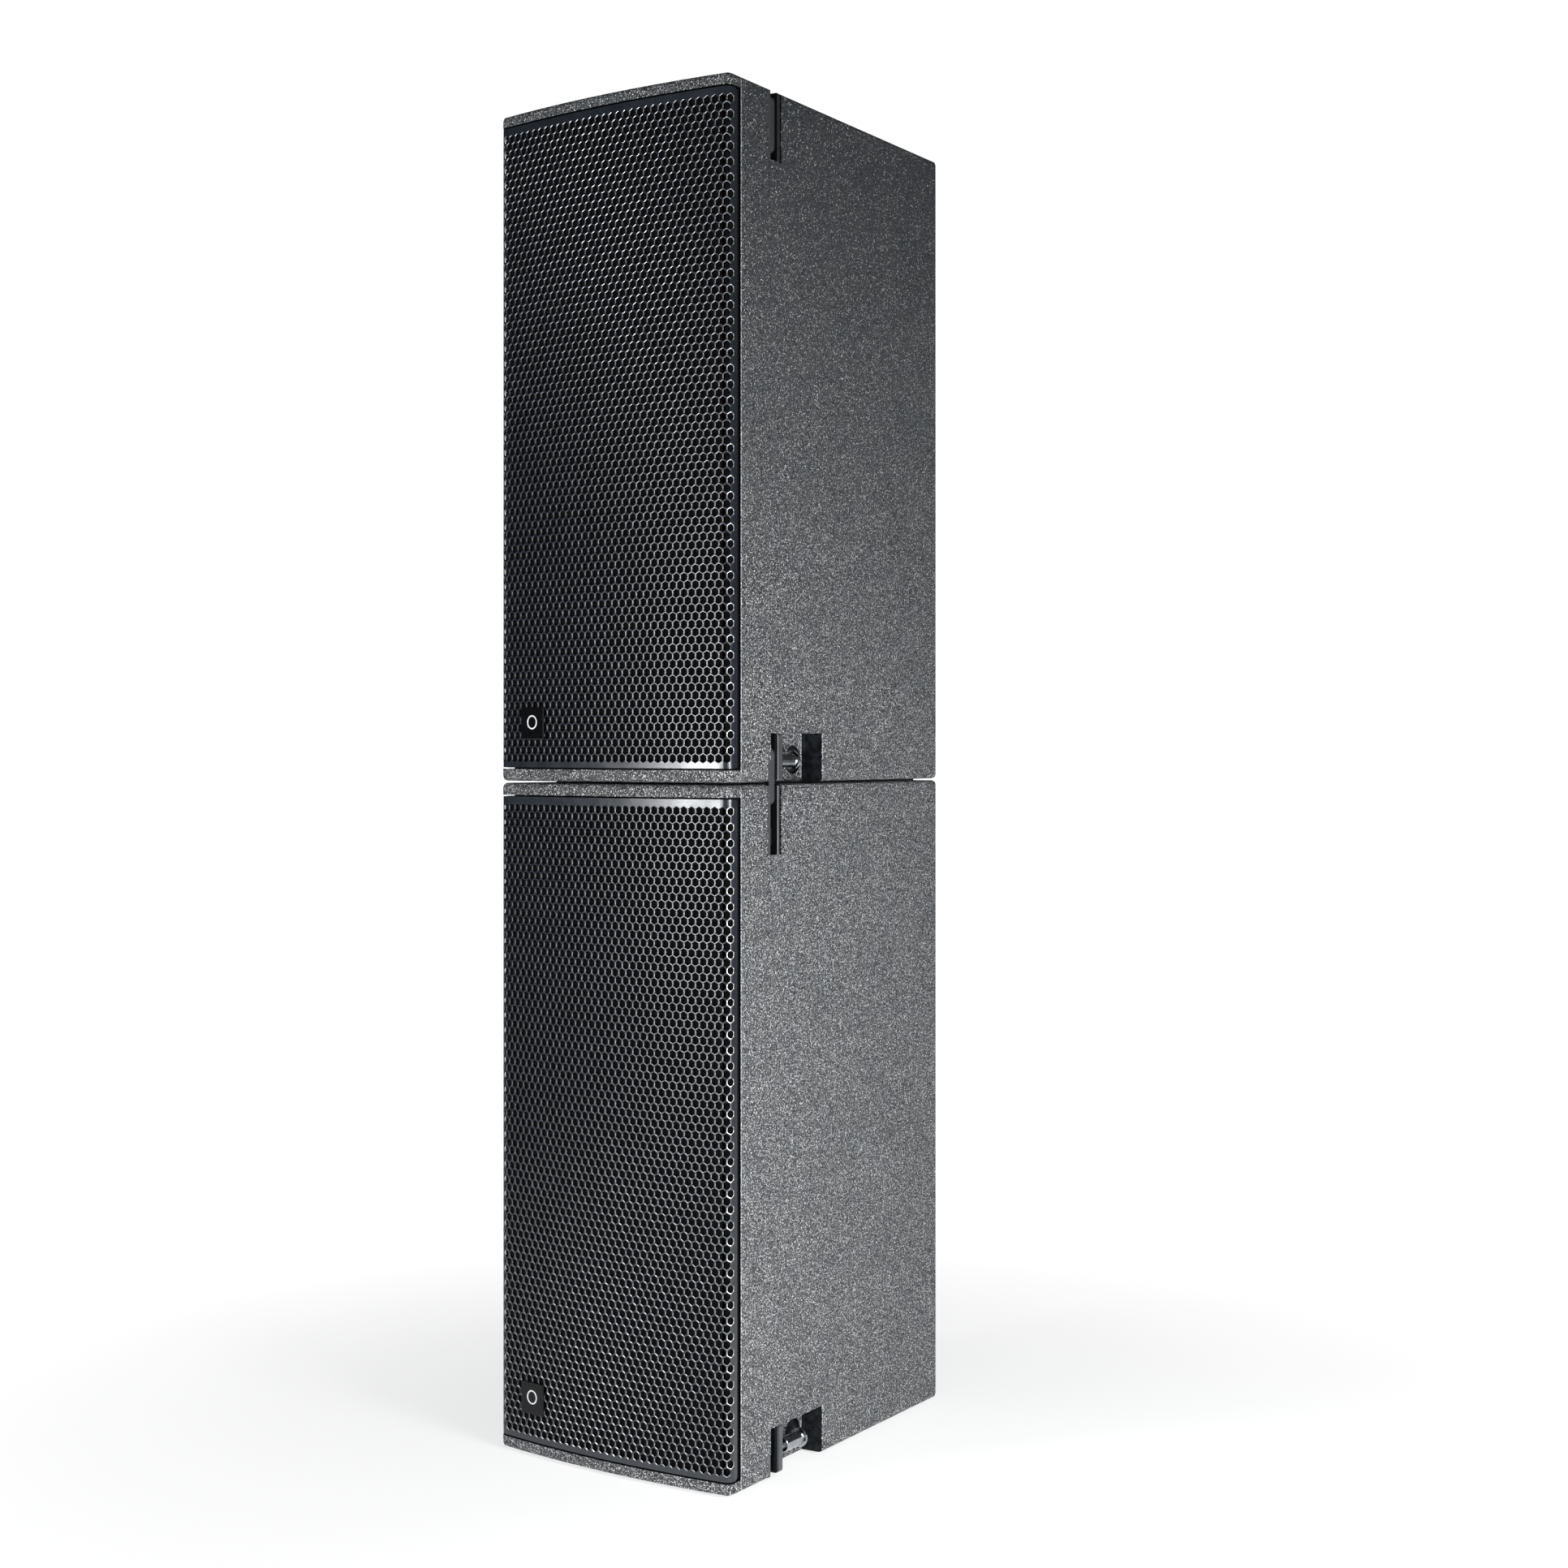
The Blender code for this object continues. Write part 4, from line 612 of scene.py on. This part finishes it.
class FlatSheet:
    """Points and faces of the sheet; layer 0 is the outer face and layer 1 the inner."""

    def __init__(self):
        self.points, self.faces, self.finishes, self.lattice = [], [], [], {}

    def vert(self, s, z, n):
        self.points.append((s, z, n))
        return len(self.points) - 1

    def face(self, *corners, finish=0):
        self.faces.append(corners)
        self.finishes.append(finish)

    def corner(self, ix, iz, layer):
        """The shared lattice point, made on first use."""
        key = (ix, iz, layer)
        if key not in self.lattice:
            self.lattice[key] = self.vert(ix * HOLE_PITCH / 2.0, LATTICE_Z + iz * HALF_SIDE,
                                          SHEET_T * layer)
        return self.lattice[key]

    def hole(self, ix, iz):
        """One hexagonal hole with a rolled rim, and the web round it."""
        s, z = ix * HOLE_PITCH / 2.0, LATTICE_Z + iz * HALF_SIDE
        front = [self.corner(ix + a, iz + b, 0) for a, b in HEX_STEPS]
        back = [self.corner(ix + a, iz + b, 1) for a, b in HEX_STEPS]
        rim = [self.vert(s + RIM_R * us, z + RIM_R * uz, 0.0) for us, uz in HEX_UNITS]
        tail = [self.vert(s + TAIL_R * us, z + TAIL_R * uz, SHEET_T) for us, uz in HEX_UNITS]
        lip = []                               # two points at each cut corner
        for k, (us, uz) in enumerate(HEX_UNITS):
            for m in ((k - 1) % 6, (k + 1) % 6):
                vs, vz = HEX_UNITS[m]
                lip.append(self.vert(s + HOLE_R * (us * (1 - CORNER_CUT) + vs * CORNER_CUT),
                                     z + HOLE_R * (uz * (1 - CORNER_CUT) + vz * CORNER_CUT),
                                     ROLL))
        for k in range(6):
            j = (k + 1) % 6
            before, a, b = lip[2 * k], lip[2 * k + 1], lip[2 * j]
            self.face(front[k], front[j], rim[j], rim[k])
            self.face(rim[k], rim[j], b, a, finish=1)
            self.face(rim[k], a, before, finish=1)
            self.face(a, b, tail[j], tail[k], finish=1)
            self.face(before, a, tail[k], finish=1)
            self.face(tail[k], tail[j], back[j], back[k])

    def strip(self, line, z, layer):
        """Points along the straight edge at z of a plain border from a zigzag lattice line, keyed by
        column.
        """
        edge = {ix: self.vert(ix * HOLE_PITCH / 2.0, z, SHEET_T * layer) for ix, _ in line}
        return edge

    def fill_strip(self, line, edge, layer):
        for (ax, az), (bx, bz) in zip(line, line[1:]):
            self.face(self.corner(ax, az, layer), self.corner(bx, bz, layer), edge[bx], edge[ax])

    def end(self, sign, top, bottom, layer):
        """Plain end on one side, from the last holes to the rounded return, as columns."""
        path = [(edge, iz + step) for iz, edge in LATTICE_ROWS for step in (1, -1)]
        heights = [SHEET_HIGH] + [LATTICE_Z + iz * HALF_SIDE for _, iz in path] + [SHEET_LOW]
        columns = [(EDGE * HOLE_PITCH / 2.0 + 0.0002, 0.0)]       # (s, drop of the corner)
        for angle in map(math.radians, RETURN_CORNER_ANGLES):
            columns.append((SHEET_HALF_LENGTH - RETURN_CORNER_R + RETURN_CORNER_R * math.sin(angle),
                            RETURN_CORNER_R * (1.0 - math.cos(angle))))
        half = (SHEET_HIGH - SHEET_LOW) / 2.0
        middle = (SHEET_LOW + SHEET_HIGH) / 2.0
        grid = []
        for s, drop in columns:
            shrink = (half - drop) / half
            grid.append([self.vert(sign * s, middle + (z - middle) * shrink, SHEET_T * layer)
                         for z in heights])
        inner = [top[EDGE * sign]]
        inner += [self.corner(sign * ix, iz, layer) for ix, iz in path]
        inner.append(bottom[(EDGE - 1) * sign])
        for a, b in zip([inner] + grid, grid):
            for k in range(len(heights) - 1):
                self.face(a[k], a[k + 1], b[k + 1], b[k])
        return grid

    def border(self, layer):
        """Plain margin round the holes; returns the closed loop of its outer edge."""
        top_line = [(ix, TOP_ROW + 2 - ix % 2) for ix in range(-EDGE, EDGE + 1)]
        bottom_line = [(ix, BOTTOM_ROW - 1 - ix % 2) for ix in range(1 - EDGE, EDGE)]
        top = self.strip(top_line, SHEET_HIGH, layer)
        bottom = self.strip(bottom_line, SHEET_LOW, layer)
        self.fill_strip(top_line, top, layer)
        self.fill_strip(bottom_line, bottom, layer)
        right = self.end(1, top, bottom, layer)
        left = self.end(-1, top, bottom, layer)
        loop = list(top.values()) + [column[0] for column in right]
        loop += right[-1][1:] + [column[-1] for column in reversed(right[:-1])]
        loop += list(reversed(bottom.values())) + [column[-1] for column in left]
        loop += list(reversed(left[-1][:-1])) + [column[0] for column in reversed(left[:-1])]
        return loop


def perforated_sheet(name):
    """Curved steel sheet with staggered hexagonal holes, both ends wrapped round the corners."""
    sheet = FlatSheet()
    for iz, edge in LATTICE_ROWS:
        for ix in range(1 - edge, edge, 2):
            sheet.hole(ix, iz)
    outer, inner = sheet.border(0), sheet.border(1)
    for k in range(len(outer)):
        j = (k + 1) % len(outer)
        sheet.face(outer[k], outer[j], inner[j], inner[k])
    mesh = bpy.data.meshes.new(name)
    mesh.from_pydata(wrap_on_front(sheet.points).tolist(), [], sheet.faces)
    mesh.polygons.foreach_set("material_index", sheet.finishes)
    bm = bmesh.new()
    bm.from_mesh(mesh)
    smooth_into(bm, mesh, sharp_degrees=62.0)
    return mesh


sheet_mesh = perforated_sheet("grille_sheet")
for prefix, base in BASES.items():
    # The upper copy brings the lower sheet's two slots with it and gets the same pair again.
    piece = add(prefix + "grille_sheet", sheet_mesh if base == 0.0 else sheet_mesh.copy())
    piece.data.materials.append(MATERIALS["grille_steel"])
    piece.data.materials.append(MATERIALS["grille_rim"])
    piece.location = (0.0, 0.0, base)
    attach(piece, "cabinets")
    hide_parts(prefix + "grille")


# ---------------------------------------------------------------- screws and badge marks
def circle(bm, place, radius, z, count):
    """Points round local Z."""
    angles = [2 * math.pi * k / count for k in range(count)]
    return [bm.verts.new(place @ Vector((radius * math.cos(a), radius * math.sin(a), z)))
            for a in angles]


def join(bm, a, b):
    for k in range(len(a)):
        j = (k + 1) % len(a)
        bm.faces.new((a[k], a[j], b[j], b[k]))


def screw_into(bm, place, radius, height, segments=16):
    """Button head screw with a hexagon recess, standing on local z = 0."""
    # (share of the radius, share of the height) up the head
    profile = ((1.0, 0.0), (1.0, 0.35), (0.93, 0.70), (0.78, 0.92), (0.58, 1.0))
    rings = [circle(bm, place, radius * r, height * z, segments) for r, z in profile]
    recess_r, recess_floor = radius * 0.42, height * 0.30
    mouth = circle(bm, place, recess_r, height, 6)
    floor_ring = circle(bm, place, recess_r, recess_floor, 6)
    bm.faces.new(list(reversed(rings[0])))
    for a, b in zip(rings, rings[1:]):
        join(bm, a, b)
    for k in range(6):
        j = (k + 1) % 6
        first, last = round(k * segments / 6), round((k + 1) * segments / 6)
        outer = [rings[-1][m % segments] for m in range(first, last + 1)]
        bm.faces.new([mouth[k]] + outer + [mouth[j]])
        bm.faces.new((floor_ring[k], mouth[k], mouth[j], floor_ring[j]))
    bm.faces.new(floor_ring)


def screws(name, places, radius, height):
    bm = bmesh.new()
    for place in places:
        screw_into(bm, place, radius, height)
    mesh = bpy.data.meshes.new(name)
    smooth_into(bm, mesh, sharp_degrees=40.0)
    obj = add(name, mesh, MATERIALS["screw_black"])
    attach(obj, "cabinets")


def facing(x, y, z, toward):
    """Placement with local Z pointing along toward."""
    turn = Vector(toward).to_track_quat("Z", "X").to_matrix().to_4x4()
    return Matrix.Translation((x, y, z)) @ turn


SCREW_SINK = 0.00005                           # heads sit this far into their face
FLANGE_SCREW_Y = FRONT_Y + 0.0137 + SCREW_SINK
PLATE_SCREW_Y = FRONT_Y + DEPTH - 0.0007 - SCREW_SINK
DRIVER_HEIGHTS = (0.1225, 0.5045)
DRIVER_BOLT_R, DRIVER_BOLTS = 0.0998, 8
WAVEGUIDE_X, WAVEGUIDE_STEP = 0.0955, 0.072
PLATE_X, PLATE_STEP = 0.0665, 0.0465
SOCKET_X = 0.030
SOCKET_SCREW = (0.01225, 0.01475)              # x and z from the socket's centre


def front_screw_places(base):
    """Round both cone drivers, and down both sides of the waveguide."""
    places = []
    for z in DRIVER_HEIGHTS:
        for k in range(DRIVER_BOLTS):
            angle = math.radians((k + 0.5) * 360.0 / DRIVER_BOLTS)
            places.append(facing(DRIVER_BOLT_R * math.cos(angle), FLANGE_SCREW_Y,
                                 base + z + DRIVER_BOLT_R * math.sin(angle), (0, -1, 0)))
    return places + side_columns(WAVEGUIDE_X, WAVEGUIDE_STEP, FLANGE_SCREW_Y, base, (0, -1, 0))


def side_columns(half_x, step, y, base, toward):
    """Three screws in a column on each side, centred on MID_HEIGHT."""
    return [facing(x, y, base + MID_HEIGHT + z, toward)
            for x in (-half_x, half_x) for z in (-step, 0.0, step)]


def socket_screw_places(base):
    """Two screws on a diagonal of each socket."""
    dx, dz = SOCKET_SCREW
    return [facing(x - sign * dx, PLATE_SCREW_Y, base + MID_HEIGHT + sign * dz, (0, 1, 0))
            for x in (-SOCKET_X, SOCKET_X) for sign in (1, -1)]


for prefix, base in BASES.items():
    screws(prefix + "driver_screws", front_screw_places(base), radius=0.0030, height=0.0018)
    screws(prefix + "plate_screws", side_columns(PLATE_X, PLATE_STEP, PLATE_SCREW_Y, base, (0, 1, 0)),
           radius=0.0034, height=0.0007)
    screws(prefix + "socket_screws", socket_screw_places(base), radius=0.0019, height=0.0006)

BADGE_X, BADGE_Z = -0.0891, 0.0555
BADGE_SEAT = 0.00045                           # ahead of the front, before the badge is turned
BADGE_FACE = 0.00197                           # badge thickness, less a slight sink of the mark
MARK_RISE = 0.0010                             # of the mark above the badge's centre
MARK_INNER_R, MARK_OUTER_R, MARK_HEIGHT = 0.0052, 0.0066, 0.00025


def badge_mark(name, base):
    """Raised white ring on the face of the badge."""
    place = (Matrix.Translation((BADGE_X, FRONT_Y + bulge_y(BADGE_X) - BADGE_SEAT, base + BADGE_Z))
             @ Matrix.Rotation(math.atan(BADGE_X / FRONT_RADIUS), 4, "Z")
             @ Matrix.Translation((0.0, -BADGE_FACE, 0.0))
             @ Matrix.Rotation(math.radians(90.0), 4, "X")
             @ Matrix.Translation((0.0, MARK_RISE, 0.0)))
    bevel = (MARK_OUTER_R - MARK_INNER_R) * 0.2
    shoulder = MARK_HEIGHT * 0.7
    profile = ((MARK_OUTER_R, 0.0), (MARK_OUTER_R, shoulder), (MARK_OUTER_R - bevel, MARK_HEIGHT),
               (MARK_INNER_R + bevel, MARK_HEIGHT), (MARK_INNER_R, shoulder), (MARK_INNER_R, 0.0))
    bm = bmesh.new()
    rings = [circle(bm, place, radius, z, 40) for radius, z in profile]
    for a, b in zip(rings, rings[1:] + rings[:1]):
        join(bm, a, b)
    mesh = bpy.data.meshes.new(name)
    smooth_into(bm, mesh)
    mark = add(name, mesh, MATERIALS["mark_white"])
    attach(mark, "cabinets")


for prefix, base in BASES.items():
    badge_mark(prefix + "badge_mark", base)


# --------------------------------------------------------------- floor, lights and world
def floor_material():
    """Matt white paper lit from below, with a faint shadow left near the cabinets."""
    s = Shader("floor_paper", grey(0.93), rough=0.9)
    paper = s.noise(scale=3.0, detail=3.0)
    s.set(Base_Color=s.ramp(paper, (0.3, grey(0.93)), (0.7, grey(0.95))), Specular_IOR_Level=0.1)
    radius = s.node("ShaderNodeVectorMath", {0: s.coord}, operation="LENGTH").outputs["Value"]
    # The camera sees mostly plain glow, and nothing else further out.
    far = s.span(radius, of=(0.20, 1.10), to=(0.55, 1.0), interpolation="SMOOTHSTEP")
    camera_ray = s.node("ShaderNodeLightPath").outputs["Is Camera Ray"]
    glow = s.node("ShaderNodeEmission", {"Color": grey(1.0), "Strength": 1.05})
    # Light from below that fades outwards.
    fade = s.span(radius, of=(1.2, 4.0), to=(0.30, 0.05), interpolation="SMOOTHSTEP")
    under = s.node("ShaderNodeEmission", {"Color": (0.97, 0.985, 1.0), "Strength": fade})
    lit = s.node("ShaderNodeAddShader", {0: s.bsdf.outputs[0], 1: under.outputs[0]})
    blend = s.node("ShaderNodeMixShader", {"Fac": s.times(far, camera_ray),
                                           1: lit.outputs[0], 2: glow.outputs[0]})
    s.plug(s.out.inputs["Surface"], blend.outputs[0])
    return s.mat


def build_floor():
    bm = bmesh.new()
    bmesh.ops.create_grid(bm, x_segments=24, y_segments=24, size=30.0)
    mesh = bpy.data.meshes.new("floor")
    bm.to_mesh(mesh)
    bm.free()
    add("floor", mesh, floor_material())


def softbox(name, location, target, size, power, color=(1, 1, 1)):
    """Rectangular light aimed at target and hidden from the camera."""
    data = bpy.data.lights.new(name, "AREA")
    data.shape = "RECTANGLE"
    data.size, data.size_y = size
    data.energy = power
    data.color = color
    obj = add(name, data)
    obj.location = location
    aim = Vector(target) - Vector(location)
    obj.rotation_euler = aim.to_track_quat("-Z", "Y").to_euler()
    obj.visible_camera = False


def build_world():
    """White to the camera; to everything else a dim room, brighter towards one side."""
    world = bpy.data.worlds.new("studio")
    scene.world = world
    world.use_nodes = True
    world.node_tree.nodes.clear()
    graph = Graph(world.node_tree)
    direction = graph.node("ShaderNodeTexCoord").outputs["Generated"]
    bright_side = (0.86, -0.50, 0.10)
    facing_it = graph.node("ShaderNodeVectorMath", {0: direction, 1: bright_side},
                           operation="DOT_PRODUCT").outputs["Value"]
    strength = graph.span(facing_it, of=(-0.45, 1.0), to=(0.05, 0.15),
                          interpolation="SMOOTHSTEP")
    seen = graph.node("ShaderNodeBackground", {"Color": grey(1.0), "Strength": 1.05})
    cast = graph.node("ShaderNodeBackground", {"Color": (0.95, 0.98, 1.0), "Strength": strength})
    camera_ray = graph.node("ShaderNodeLightPath").outputs["Is Camera Ray"]
    mixed = graph.node("ShaderNodeMixShader", {"Fac": camera_ray,
                                               1: cast.outputs[0], 2: seen.outputs[0]})
    graph.node("ShaderNodeOutputWorld", {"Surface": mixed.outputs[0]})


def build_camera():
    data = bpy.data.cameras.new("camera")
    data.sensor_width = 36.0
    data.lens = 56.087
    data.shift_y = -0.02355
    data.clip_start = 0.05
    data.clip_end = 100.0
    camera = add("camera", data)
    camera.location = (1.4332, -1.8863, 0.6585)
    view = Vector((-0.58983, 0.80753, 0.0))
    camera.rotation_euler = view.to_track_quat("-Z", "Y").to_euler()
    scene.camera = camera


build_floor()
softbox("key_light", location=(1.12, -0.42, 0.42), target=(0.13, 0.02, 0.43),
        size=(0.45, 0.5), power=17.0)
softbox("fill_light", location=(2.0, -1.9, 0.40), target=(0.05, -0.1, 0.42),
        size=(1.2, 0.8), power=8.5)
softbox("front_light", location=(-0.92, -2.45, 0.60), target=(0.05, -0.15, 0.62),
        size=(0.45, 0.80), power=34.0, color=(0.97, 0.985, 1.0))
softbox("over_light", location=(0.3, -0.5, 4.2), target=(0.0, 0.0, 0.0),
        size=(3.6, 3.6), power=14.0)
build_world()
scene.view_settings.view_transform = "Standard"
scene.view_settings.look = "None"
build_camera()

bpy.context.view_layer.update()
